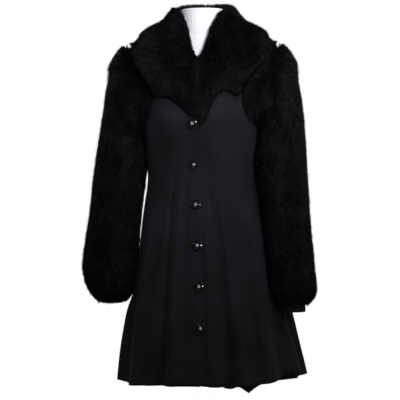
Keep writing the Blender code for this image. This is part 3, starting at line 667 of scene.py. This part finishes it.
def skin_of(node, facing, out_from, in_from, pile, share):
    """The outer surface of a fur piece, its hairy faces, and the depth of the pile at each point.

    `facing` gives how far a face looks outwards, from -1 to 1. Faces above `out_from` carry hair,
    and the ones below `in_from` are the back of the pelt."""
    skin = copy_of(node, node + "_skin")
    rounded(skin, 1, SKIN_RIM, True)
    mesh = skin.data
    points = points_of(mesh)
    normals = np.array([v.normal for v in mesh.vertices])
    looks = np.array([facing(f.center, f.normal) for f in mesh.polygons])
    hairy = looks > out_from
    straight = np.zeros_like(normals)
    for face, out in zip(mesh.polygons, hairy):
        if out:
            for i in face.vertices:
                straight[i] += np.array(face.normal) * face.area
    on_fur = np.linalg.norm(straight, axis=1) > 0
    normals[on_fur] = unit(straight[on_fur])
    back_faces = [tuple(f.vertices) for f, look in zip(mesh.polygons, looks) if look < in_from]
    back = BVHTree.FromPolygons([tuple(p) for p in points], back_faces)
    depth = np.zeros(len(points))
    on_hair = sorted({i for f, out in zip(mesh.polygons, hairy) if out for i in f.vertices})
    for i in on_hair:
        place = Vector(points[i])
        over_cloth = PELT_CLOTH_SHARE * (PANEL_TREE.find_nearest(place)[3] - PELT_OVER_CLOTH)
        depth[i] = max(0.0, min(pile, share * back.find_nearest(place)[3], over_cloth))
    return skin, points, normals, hairy, depth


def fur_surface(skins, facing, out_from):
    """One search tree over the outer faces of several skins, so that hair may cross their seams."""
    corners, faces = [], []
    for skin, points, _, _, _ in skins:
        faces += [
            tuple(i + len(corners) for i in f.vertices)
            for f in skin.data.polygons if facing(f.center, f.normal) > out_from
        ]
        corners += [tuple(p) for p in points]
    return BVHTree.FromPolygons(corners, faces)


def nearest_on(surface, places):
    """The nearest points of a surface and its normals there."""
    found = [surface.find_nearest(place)[:2] for place in places]
    return np.array([near for near, _ in found]), np.array([out for _, out in found])


def past_the_edge(goal, near, normal):
    """Where the fur ends, hair goes on past its edge for a part of its step."""
    gap = goal - near
    gap -= normal * np.sum(gap * normal, axis=1, keepdims=True)
    size = np.linalg.norm(gap, axis=1, keepdims=True)
    return gap * np.minimum(EDGE_SHARE, EDGE_MOST / np.maximum(size, 1e-9))


def pelt_of(node, skin, facing, in_from, inside):
    """The pelt: the skin sunk by the depth of the hair, with the inside of the node kept."""
    source, points, normals, _, depth = skin
    source.name = node + "_pelt"
    set_points(source.data, points - normals * depth[:, None])
    source.data.materials.append(PELT)
    source.data.materials.append(inside)
    for face in source.data.polygons:
        face.material_index = 1 if facing(face.center, face.normal) < in_from else 0
    return source

# %% [markdown]
# ## Hair
# A hair starts on the pelt, rises, and lies down along the flow of the fur until its tip meets the
# outer surface. Soft noise lets the flow swirl, and neighbours share a lock: their tips lean
# towards the tip of the lock's middle hair, which makes the small pointed clumps of real fur. The
# random numbers have a fixed seed, so the fur is the same each time.

# %% Soft noise and random places
NOISE_WAVES = 5
NOISE_SIZE = 2.6


def smooth_noise(points, scale, seed):
    """A soft random value from -1 to 1 at every point."""
    rng = np.random.default_rng(seed)
    value = np.zeros(len(points))
    for _ in range(NOISE_WAVES):
        way = rng.normal(size=3)
        way *= 2 * math.pi / scale * rng.uniform(0.6, 1.5) / np.linalg.norm(way)
        value += np.sin(points @ way + rng.uniform(0, 2 * math.pi))
    return value / NOISE_SIZE


def scattered(mesh, points, normals, hairy, depth, count, rng):
    """Random places on the hairy faces: point, normal and depth of the pile."""
    mesh.calc_loop_triangles()
    corners = np.array([t.vertices for t in mesh.loop_triangles])
    owner = np.array([t.polygon_index for t in mesh.loop_triangles])
    corners = corners[hairy[owner]]
    a, b, c = (points[corners[:, i]] for i in range(3))
    area = np.linalg.norm(np.cross(b - a, c - a), axis=1)
    chosen = rng.choice(len(corners), size=count, p=area / area.sum())
    u, v = rng.random(count), rng.random(count)
    flip = u + v > 1
    u, v = np.where(flip, 1 - u, u), np.where(flip, 1 - v, v)
    weights = np.stack([1 - u - v, u, v], axis=1)
    tri = corners[chosen]
    place = np.einsum("ni,nij->nj", weights, points[tri])
    normal = np.einsum("ni,nij->nj", weights, normals[tri])
    normal /= np.linalg.norm(normal, axis=1, keepdims=True)
    return place, normal, np.einsum("ni,ni->n", weights, depth[tri])

# %% Flow and locks
LOCK_HAIRS, LOCK_REACH, LOCK_PULL = 26, 0.030, (0.5, 1.0)


def lying(flow, place, normal, swirl):
    """The way that hair lies on the skin, turned aside by its swirl."""
    way = flow(place, normal)
    way = unit(way - normal * np.sum(way * normal, axis=1, keepdims=True))
    return way * np.cos(swirl)[:, None] + np.cross(normal, way) * np.sin(swirl)[:, None]


def gathered(place, tip, gather, rng):
    """How far each hair's tip leans to the tip of the nearest lock."""
    count = len(place)
    locks = rng.choice(count, size=max(1, count // LOCK_HAIRS), replace=False)
    near_lock = KDTree(len(locks))
    for j, i in enumerate(locks):
        near_lock.insert(place[i], j)
    near_lock.balance()
    mine = np.array([near_lock.find(p)[1] for p in place])
    pull = gather * rng.uniform(*LOCK_PULL, count)[:, None]
    gap = tip[locks][mine] - tip
    far = np.linalg.norm(gap, axis=1, keepdims=True)
    return gap * pull * np.clip(LOCK_REACH / np.maximum(far, 1e-6), 0, 1)

# %% From corners to blades
HAIR_V = (0.02, 0.55, 0.98)  # where root, bend and tip lie on the hair's own map


def blades(name, corners, tone, material):
    """A mesh of hairs from five corners each, with its map."""
    count = len(tone)
    first = np.arange(count)[:, None] * 5
    quads = (first + np.array([[0, 1, 3, 2]])).ravel()
    ends = (first + np.array([[2, 3, 4]])).ravel()
    mesh = bpy.data.meshes.new(name)
    mesh.vertices.add(count * 5)
    mesh.vertices.foreach_set("co", corners.astype(np.float32).ravel())
    mesh.loops.add(len(quads) + len(ends))
    mesh.loops.foreach_set("vertex_index", np.concatenate([quads, ends]).astype(np.int32))
    mesh.polygons.add(2 * count)
    starts = np.concatenate([np.arange(count) * 4, len(quads) + np.arange(count) * 3])
    mesh.polygons.foreach_set("loop_start", starts.astype(np.int32))
    mesh.update(calc_edges=True)
    root, bend, tip = HAIR_V
    quad_map = np.stack([np.repeat(tone, 4), np.tile([root, root, bend, bend], count)], axis=1)
    end_map = np.stack([np.repeat(tone, 3), np.tile([bend, bend, tip], count)], axis=1)
    layer = mesh.uv_layers.new(name="OFBake")
    layer.data.foreach_set("uv", np.concatenate([quad_map, end_map]).astype(np.float32).ravel())
    mesh.materials.append(material)
    mesh.validate()
    mesh.shade_smooth()
    return new_piece(name, mesh)

# %% Grow hair on a skin
# WIDE is the share of soft noise, SIZE the noise's size, and EACH what single hairs add to it
SWIRL_WIDE, SWIRL_SIZE, SWIRL_EACH = 0.45, 0.09, 0.20
LENGTH_LEAST, LENGTH_SIZE, LENGTH_EACH = 0.75, 0.05, (0.6, 1.15)
TONE_MIDDLE, TONE_WIDE, TONE_SIZE, TONE_EACH = 0.5, 0.28, 0.06, 0.16
TONE_ENDS = (0.02, 0.98)
PROUD_CURVE, SUNK_TIP = 1.5, 0.0010  # most tips lie low and a few stand proud
ROOT_DEEP = 1.02  # roots start just inside the pelt
BEND_DEEP, BEND_FULL, BEND_LOCK = (0.12, 0.42), 0.7, 0.35
TWIST, WIDTH_EACH, FOOT_WIDTH = 0.55, (0.7, 1.25), 0.7


def hair_piece(
    name, skin, surface, flow, count, length, width, proud, gather, material, seed, fuller=None,
):
    """One piece of joined hairs, rooted on the pelt and lying along `flow` in two steps."""
    source, points, normals, hairy, depth = skin
    rng = np.random.default_rng(seed)
    place, normal, pile = scattered(source.data, points, normals, hairy, depth, count, rng)
    swirl = SWIRL_WIDE * smooth_noise(place, SWIRL_SIZE, seed + 1)
    swirl += SWIRL_EACH * rng.normal(size=count)
    reach = LENGTH_LEAST + (1 - LENGTH_LEAST) * smooth_noise(place, LENGTH_SIZE, seed + 2)
    reach = length * reach * rng.uniform(*LENGTH_EACH, count)
    step = reach[:, None] / 2
    bend, bend_normal = nearest_on(surface, place + lying(flow, place, normal, swirl) * step)
    goal = bend + lying(flow, bend, bend_normal, swirl) * step
    tip, tip_normal = nearest_on(surface, goal)
    more = fuller(place) if fuller else np.zeros(count)
    lift = proud * (rng.random(count) ** PROUD_CURVE) - SUNK_TIP + more
    tip += past_the_edge(goal, tip, tip_normal) + tip_normal * lift[:, None]
    shift = gathered(place, tip, gather, rng)
    tip = off_the_cloth(tip + shift)
    root = place - normal * (pile * ROOT_DEEP)[:, None]
    deep = pile * rng.uniform(*BEND_DEEP, count) - BEND_FULL * more
    middle = bend - bend_normal * deep[:, None] + BEND_LOCK * shift
    side = unit(np.cross(tip - root, normal + TWIST * rng.normal(size=(count, 3))))
    half = side * (width / 2 * rng.uniform(*WIDTH_EACH, count))[:, None]
    foot = half * FOOT_WIDTH
    corners = np.stack([root - foot, root + foot, middle - half, middle + half, tip], axis=1)
    tone = TONE_MIDDLE + TONE_WIDE * smooth_noise(place, TONE_SIZE, seed + 3)
    tone = np.clip(tone + TONE_EACH * rng.normal(size=count), *TONE_ENDS)
    return blades(name, corners, tone, material)

# %% [markdown]
# ## Fur sleeves
# A fur sleeve is pieced so that the hair runs down the arm. Each sleeve has a top and an under
# half, and hair of one may lie over the other, because both share one outer surface. At the
# sleeve's head the hair turns towards the neck and stands fuller, so that no bare line shows beside
# the collar.

# %% Which way the sleeve's hair lies
# The line down the middle of the wearer's left sleeve
SLEEVE_PATH = (
    (0.120, -0.010, 1.300), (0.176, -0.012, 1.290), (0.196, -0.020, 1.210), (0.203, -0.030, 1.100),
    (0.212, -0.040, 1.000), (0.220, -0.052, 0.900), (0.228, -0.056, 0.780),
)


def on_path(place, side):
    """The nearest point of the line down the middle of a sleeve."""
    best, found = 1e9, None
    corners = [Vector((side * x, y, z)) for x, y, z in SLEEVE_PATH]
    for a, b in zip(corners[:-1], corners[1:]):
        share = min(1.0, max(0.0, (place - a).dot(b - a) / (b - a).length_squared))
        near = a.lerp(b, share)
        if (place - near).length < best:
            best, found = (place - near).length, near
    return found


def off_the_arm(side):
    """How far a face of a sleeve looks away from the line down its middle."""
    def facing(centre, normal):
        return (centre - on_path(centre, side)).normalized().dot(normal)
    return facing


print("sleeve path:", len(SLEEVE_PATH), "points")

# %% Flow of the sleeve's hair
# Each pair is where something begins, and how far past that it is complete
HEAD, HEAD_RIM = (1.30, 0.06), (-0.185, 0.03)
OUTWARDS, INWARDS, LESS_DOWN = 0.45, 1.6, 1.4
BESIDE_COLLAR, ON_CHEST = (-0.205, 0.035), (1.20, 0.05)
IN_FRONT, ON_HEAD = (-0.01, 0.03), (1.34, 0.04)
FULL_FRONT, FULL_HEAD = 0.011, 0.011


def eased(value, start, over):
    """0 up to a start, 1 past the end of the distance `over`, and a straight rise between."""
    return np.clip((value - start) / over, 0, 1)


def sleeve_flow(side):
    """Down the sleeve, but towards the neck at the inner rim of the sleeve's head."""
    def flow(place, normal):
        down = np.tile([0.0, 0.0, -1.0], (len(place), 1))
        high = eased(place[:, 2], *HEAD)
        inner = eased(-np.abs(place[:, 0]), *HEAD_RIM)
        down[:, 0] = side * high * (OUTWARDS - INWARDS * inner)
        down[:, 2] += LESS_DOWN * high * inner
        return down
    return flow


def full_at_the_collar(place):
    """The sleeve's fur stands fuller beside the collar, in front and over the sleeve's head."""
    inner = eased(-np.abs(place[:, 0]), *BESIDE_COLLAR)
    high = eased(place[:, 2], *ON_CHEST)
    front = eased(-place[:, 1], *IN_FRONT)
    head = eased(place[:, 2], *ON_HEAD)
    return np.maximum(FULL_FRONT * inner * high * front, FULL_HEAD * head)

# %% Sleeves
ARM_OUT, ARM_IN = 0.35, -0.35
SLEEVE_PILE, SLEEVE_SHARE = 0.0115, 0.72
SHEETS = {}
# Length, width, how proud the tips stand, how much they gather
UNDER_CUT = (0.017, 0.0013, 0.0020, 0.25)
GUARD_CUT = (0.034, 0.0007, 0.0070, 0.38)
# Columns: node, side, underhairs, guard hairs, seed
SLEEVE_HAIR_ROWS = (
    ("top_sleeve_left", 1, 27000, 25000, 11),
    ("under_sleeve_left", 1, 16000, 15000, 17),
    ("top_sleeve_right", -1, 27000, 25000, 23),
    ("under_sleeve_right", -1, 16000, 15000, 29),
)
SKINS = {
    node: skin_of(node, off_the_arm(side), ARM_OUT, ARM_IN, SLEEVE_PILE, SLEEVE_SHARE)
    for node, side, _, _, _ in SLEEVE_HAIR_ROWS
}
for node, side, under_hairs, guard_hairs, seed in SLEEVE_HAIR_ROWS:
    skin = SKINS[node]
    both_halves = [SKINS[row[0]] for row in SLEEVE_HAIR_ROWS if row[1] == side]
    arm = fur_surface(both_halves, off_the_arm(side), ARM_OUT)
    under = hair_piece(
        node + "_underhair", skin, arm, sleeve_flow(side), under_hairs, *UNDER_CUT, UNDER_HAIR,
        seed, full_at_the_collar,
    )
    guard = hair_piece(
        node + "_guard_hair", skin, arm, sleeve_flow(side), guard_hairs, *GUARD_CUT, GUARD_HAIR,
        seed + 3, full_at_the_collar,
    )
    SHEETS[node] = (skin, under, guard)
    print(node, "hairs", under_hairs + guard_hairs)
for node, side, _, _, _ in SLEEVE_HAIR_ROWS:
    skin, under, guard = SHEETS[node]
    SHEETS[node] = (pelt_of(node, skin, off_the_arm(side), ARM_IN, LINING), under, guard)

# %% [markdown]
# ## Fur collar
# A shawl collar is one long piece of fur that stands up from the neck, rolls over and falls on the
# shoulders and the chest. The hair follows that roll: up on the side of the neck, then outwards and
# down. At the middle of the front it crosses, so that the two ends read as one fur.

# %% Collar


def off_the_coat(centre, normal):
    """How far a face of the collar looks away from the coat under it."""
    return (centre - PANEL_TREE.find_nearest(centre)[0]).normalized().dot(normal)


COLLAR_FROM, COLLAR_OUT = -0.25, 0.15
COLLAR_PILE, COLLAR_SHARE = 0.015, 0.60
MEET_WIDTH, MEET_PULL = 0.016, 0.9
OVER_ROLL, AWAY, UP, TURN_DOWN = (-0.35, 0.5), 0.8, 0.8, 1.55


def collar_flow(place, normal):
    """Up from the neck over the roll, then away from the neck and down."""
    way = unit(np.stack([place[:, 0], place[:, 1], np.zeros(len(place))], axis=1))
    outside = eased(np.sum(way * normal, axis=1), *OVER_ROLL)
    way = way * AWAY
    way[:, 2] = UP - TURN_DOWN * outside
    meet = np.exp(-((place[:, 0] / MEET_WIDTH) ** 2)) * (place[:, 1] < 0)
    way[:, 0] -= MEET_PULL * meet * np.sign(place[:, 0])
    return way


skin = skin_of("fur_collar", off_the_coat, COLLAR_FROM, COLLAR_FROM, COLLAR_PILE, COLLAR_SHARE)
shawl = fur_surface([skin], off_the_coat, COLLAR_OUT)
under = hair_piece(
    "fur_collar_underhair", skin, shawl, collar_flow, 38000, *UNDER_CUT, UNDER_HAIR, 41,
)
guard = hair_piece(
    "fur_collar_guard_hair", skin, shawl, collar_flow, 36000, *GUARD_CUT, GUARD_HAIR, 47,
)
SHEETS["fur_collar"] = (pelt_of("fur_collar", skin, off_the_coat, COLLAR_FROM, WOOL), under, guard)
print("collar hairs", len(under.data.polygons) // 2 + len(guard.data.polygons) // 2)

FUR_ROWS = (
    ("top_sleeve_left", 0.280, 0.640, 0.140),
    ("under_sleeve_left", 0.190, 0.520, 0.080),
    ("top_sleeve_right", 0.290, 0.640, 0.145),
    ("under_sleeve_right", 0.190, 0.520, 0.082),
    ("fur_collar", 0.260, 0.900, 0.150),
)
for node, width, length, area in FUR_ROWS:
    pelt, under, guard = SHEETS[node]
    for piece in (pelt, under, guard):
        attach(piece, "root")
    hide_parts(node)
print("fur sheets:", len(FUR_ROWS))

# %% [markdown]
# ## The jet buttons
# The real button is a plated metal disc with a shank behind it and set with black glass stones and
# clear crystals. One is built lying flat, with its cloth side at zero height: a dished disc, a
# beaded edge, a ring of jet stones, a ring of small ones, and a large crystal in a collar with
# prongs.

# %% Button materials
GLASS_SCALE = 900.0  # polishing marks of 1 mm
# Size of the cells of painted facet glints on the crystal
GLINT_CELL_SCALE = 700.0  # facets of 1.4 mm
WEAR_SCALE = 500.0  # worn spots of 2 mm

# Black glass, polished, with faint polishing marks
JET = new_material("button_jet_glass_polished", Roughness=0.12, Specular_IOR_Level=0.50)
marks = on_object(JET, "ShaderNodeTexNoise", Scale=GLASS_SCALE, Detail=2.0)
coloured(JET, marks, "Fac", [(0.3, "070708"), (0.7, "121215")])
coloured(JET, marks, "Fac", [(0.3, "1c1c1c"), (0.7, "3a3a3a")], "Roughness")
# Cut crystal with a foil back, mirror bright, with painted facet glints: cells painted white and
# grey
CRYSTAL = new_material("button_crystal_foiled", Metallic=0.85, Roughness=0.04)
# Painted reflection: cells of white and grey stand for facets that catch or miss the light
painted_glints = on_object(CRYSTAL, "ShaderNodeTexVoronoi", Scale=GLINT_CELL_SCALE)
coloured(CRYSTAL, painted_glints, "Color", [(0.2, "b9bcc4"), (0.8, "ffffff")])
# Black-plated metal, worn to grey where hands touch it
SETTING = new_material("button_setting_black_plate", Metallic=0.9, Roughness=0.30)
wear = on_object(SETTING, "ShaderNodeTexNoise", Scale=WEAR_SCALE, Detail=4.0)
coloured(SETTING, wear, "Fac", [(0.45, "0c0c0e"), (0.75, "2c2c31")])
print("button materials:", JET.name, CRYSTAL.name, SETTING.name)

# %% Parts of a button
BUTTON_RADIUS = 0.0122
DISC_INSIDE_EDGE, DISC_DEPTH = 0.0004, 0.0034
DISC_STEPS = ((0.0012, 0.0008), (0.0016, -0.0012))  # inset and rise: first the rim, then the dish
TABLE_SHARE = 0.58  # how wide the flat top of a cut stone is


def finished(piece, material, smooth):
    """Gives a part of the button its material and shading, and bakes its place into its mesh."""
    piece.data.materials.append(material)
    for face in piece.data.polygons:
        face.use_smooth = smooth
    piece.data.transform(piece.matrix_basis)
    piece.matrix_basis = Matrix.Identity(4)
    return piece


def cut_stone(radius, height, sides, place, lean, material):
    """A cut stone: a truncated cone with a flat table, leaning outwards by `lean` at its place."""
    bpy.ops.mesh.primitive_cone_add(
        vertices=sides, radius1=radius, radius2=radius * TABLE_SHARE, depth=height,
        end_fill_type="NGON",
    )
    stone = bpy.context.object
    across = math.atan2(place[1], place[0])
    turn = Matrix.Rotation(across, 4, "Z") @ Matrix.Rotation(lean, 4, "Y")
    stone.matrix_basis = Matrix.Translation(place) @ turn
    return finished(stone, material, False)


def ring_of(count, radius, height):
    """Places evenly round a circle."""
    turns = [2 * math.pi * i / count for i in range(count)]
    return [Vector((radius * math.cos(t), radius * math.sin(t), height)) for t in turns]


def dished_disc():
    """The body of the button: a disc whose middle is sunk inside a rounded rim."""
    bpy.ops.mesh.primitive_cylinder_add(
        vertices=48, radius=BUTTON_RADIUS - DISC_INSIDE_EDGE, depth=DISC_DEPTH,
    )
    disc = bpy.context.object
    disc.location.z = DISC_DEPTH / 2
    bpy.ops.object.mode_set(mode="EDIT")
    bpy.ops.mesh.select_all(action="DESELECT")
    bpy.ops.object.mode_set(mode="OBJECT")
    for face in disc.data.polygons:
        face.select = face.normal.z > 0.9
    bpy.ops.object.mode_set(mode="EDIT")
    for inset, rise in DISC_STEPS:
        bpy.ops.mesh.inset(thickness=inset)
        bpy.ops.transform.translate(value=(0.0, 0.0, rise))
    bpy.ops.object.mode_set(mode="OBJECT")
    return finished(disc, SETTING, False)


def collar_ring(radius, thick, height):
    """A plain ring that holds a stone."""
    bpy.ops.mesh.primitive_torus_add(
        major_radius=radius, minor_radius=thick, major_segments=32, minor_segments=8,
    )
    ring = bpy.context.object
    ring.location.z = height
    return finished(ring, SETTING, True)


def small_ball(radius, place):
    """A bead or the ball end of a prong."""
    bpy.ops.mesh.primitive_ico_sphere_add(subdivisions=1, radius=radius)
    ball = bpy.context.object
    ball.location = place
    return finished(ball, SETTING, True)

# %% One button
# Columns: how many, radius of the ring, height over the cloth, radius of the ball
BEADS = (36, 0.0116, 0.0034, 0.00065)
PRONGS = (6, 0.0045, 0.0056, 0.0006)
# Columns: how many, radius of the ring, height over the cloth, stone's radius, height, sides, lean
JET_STONES = (16, 0.0096, 0.0046, 0.0018, 0.0016, 6, 0.30)
SMALL_STONES = (12, 0.0069, 0.0042, 0.0009, 0.0010, 8, 0.15)
CRYSTAL_EVERY = 4
CRYSTAL_RING = (0.0047, 0.0006, 0.0050)  # radius, thickness and height
MIDDLE_STONE = (0.0043, 0.0018, 12, Vector((0.0, 0.0, 0.0057)))  # radius, height, sides, place


def balls_round(row):
    """A ring of beads or prongs."""
    count, ring, height, radius = row
    return [small_ball(radius, place) for place in ring_of(count, ring, height)]


def stones_round(row, crystal_every=0):
    """A ring of jet stones, of which one in so many is a crystal."""
    count, ring, height, radius, depth, sides, lean = row
    stones = []
    for i, place in enumerate(ring_of(count, ring, height)):
        material = CRYSTAL if crystal_every and i % crystal_every == 0 else JET
        stones.append(cut_stone(radius, depth, sides, place, lean, material))
    return stones


def jet_button():
    """All parts of one button, joined."""
    parts = [dished_disc(), collar_ring(*CRYSTAL_RING)]
    parts += balls_round(BEADS) + stones_round(JET_STONES)
    parts += stones_round(SMALL_STONES, CRYSTAL_EVERY) + balls_round(PRONGS)
    parts.append(cut_stone(*MIDDLE_STONE, 0.0, CRYSTAL))
    bpy.ops.object.select_all(action="DESELECT")
    for part in parts:
        part.select_set(True)
    bpy.context.view_layer.objects.active = parts[0]
    bpy.ops.object.join()
    return parts[0]

# %% [markdown]
# ## Six buttons on the coat
# Buttons sewn on by hand never stand quite alike, so each copy is turned a little on its thread.
# The frame's plain buttons give the place and the way that each one faces.

# %% Six buttons on the coat
BUTTON_TURNS = (0.0, 11.0, -7.0, 19.0, 4.0, -14.0)
pattern = jet_button()
for i, degrees in enumerate(BUTTON_TURNS):
    node = f"button_{i + 1}"
    seat, out = button_place(node)
    mesh = pattern.data.copy()
    spin = Matrix.Rotation(math.radians(degrees), 4, "Z")
    face_out = out.to_track_quat("Z", "Y").to_matrix().to_4x4()
    mesh.transform(Matrix.Translation(seat) @ face_out @ spin)
    button = new_piece(node + "_jet", mesh)
    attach(button, "root")
    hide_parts(node)
bpy.data.objects.remove(pattern)
print("buttons:", len(BUTTON_TURNS))

# %% [markdown]
# ## The dress form and its stand
# The form is a moulded body in white cotton jersey, and its stand is powder-coated steel. Their
# shapes in the frame are right, so they only get better materials. Both finishes are nearly plain,
# but a plain white reads as plastic, so jersey keeps its ribs and the coat of powder its fine
# orange peel.

# %% Form and stand materials
KNIT_SCALE = 280.0  # ribs 1.1 mm apart, as on real jersey
JERSEY_CLOUDS = 24.0  # clouds of 40 mm
PEEL_SCALE = 600.0  # bumps of 1.7 mm

# White cotton jersey stretched over the form: a fine knit
JERSEY = new_material("form_jersey_knit", Roughness=0.8, Specular_IOR_Level=0.2)
knit = on_object(
    JERSEY, "ShaderNodeTexWave", Scale=KNIT_SCALE, Distortion=0.4, bands_direction="Z",
)
cloudy = on_object(JERSEY, "ShaderNodeTexNoise", Scale=JERSEY_CLOUDS, Detail=3.0)
coloured(JERSEY, cloudy, "Fac", [(0.3, "a8a7ab"), (0.7, "b2b1b5")])
raised(JERSEY, knit, 0.15, 0.0004)
# White powder coat on steel, with its fine orange-peel skin
PAINT = new_material("stand_powder_coat", Roughness=0.4, Specular_IOR_Level=0.5)
peel = on_object(PAINT, "ShaderNodeTexNoise", Scale=PEEL_SCALE, Detail=2.0)
coloured(PAINT, peel, "Fac", [(0.3, "e2e2e2"), (0.7, "ededed")])
raised(PAINT, peel, 0.2, 0.0003)
for node, finish in (("dress_form", JERSEY), ("stand_pole", PAINT), ("stand_base", PAINT)):
    for slot in NODES[node].material_slots:
        slot.material = finish
print("form and stand:", JERSEY.name, PAINT.name)

# %% Floor finish
FLOOR_GRAIN = 60.0  # grain of 17 mm
floor_paint = new_material("studio_floor_matt", Roughness=0.85)
floor_grain = on_object(floor_paint, "ShaderNodeTexNoise", Scale=FLOOR_GRAIN)
coloured(floor_paint, floor_grain, "Fac", [(0.3, "e6e6e6"), (0.7, "ececec")])
floor.data.materials.append(floor_paint)
print("floor:", floor_paint.name)
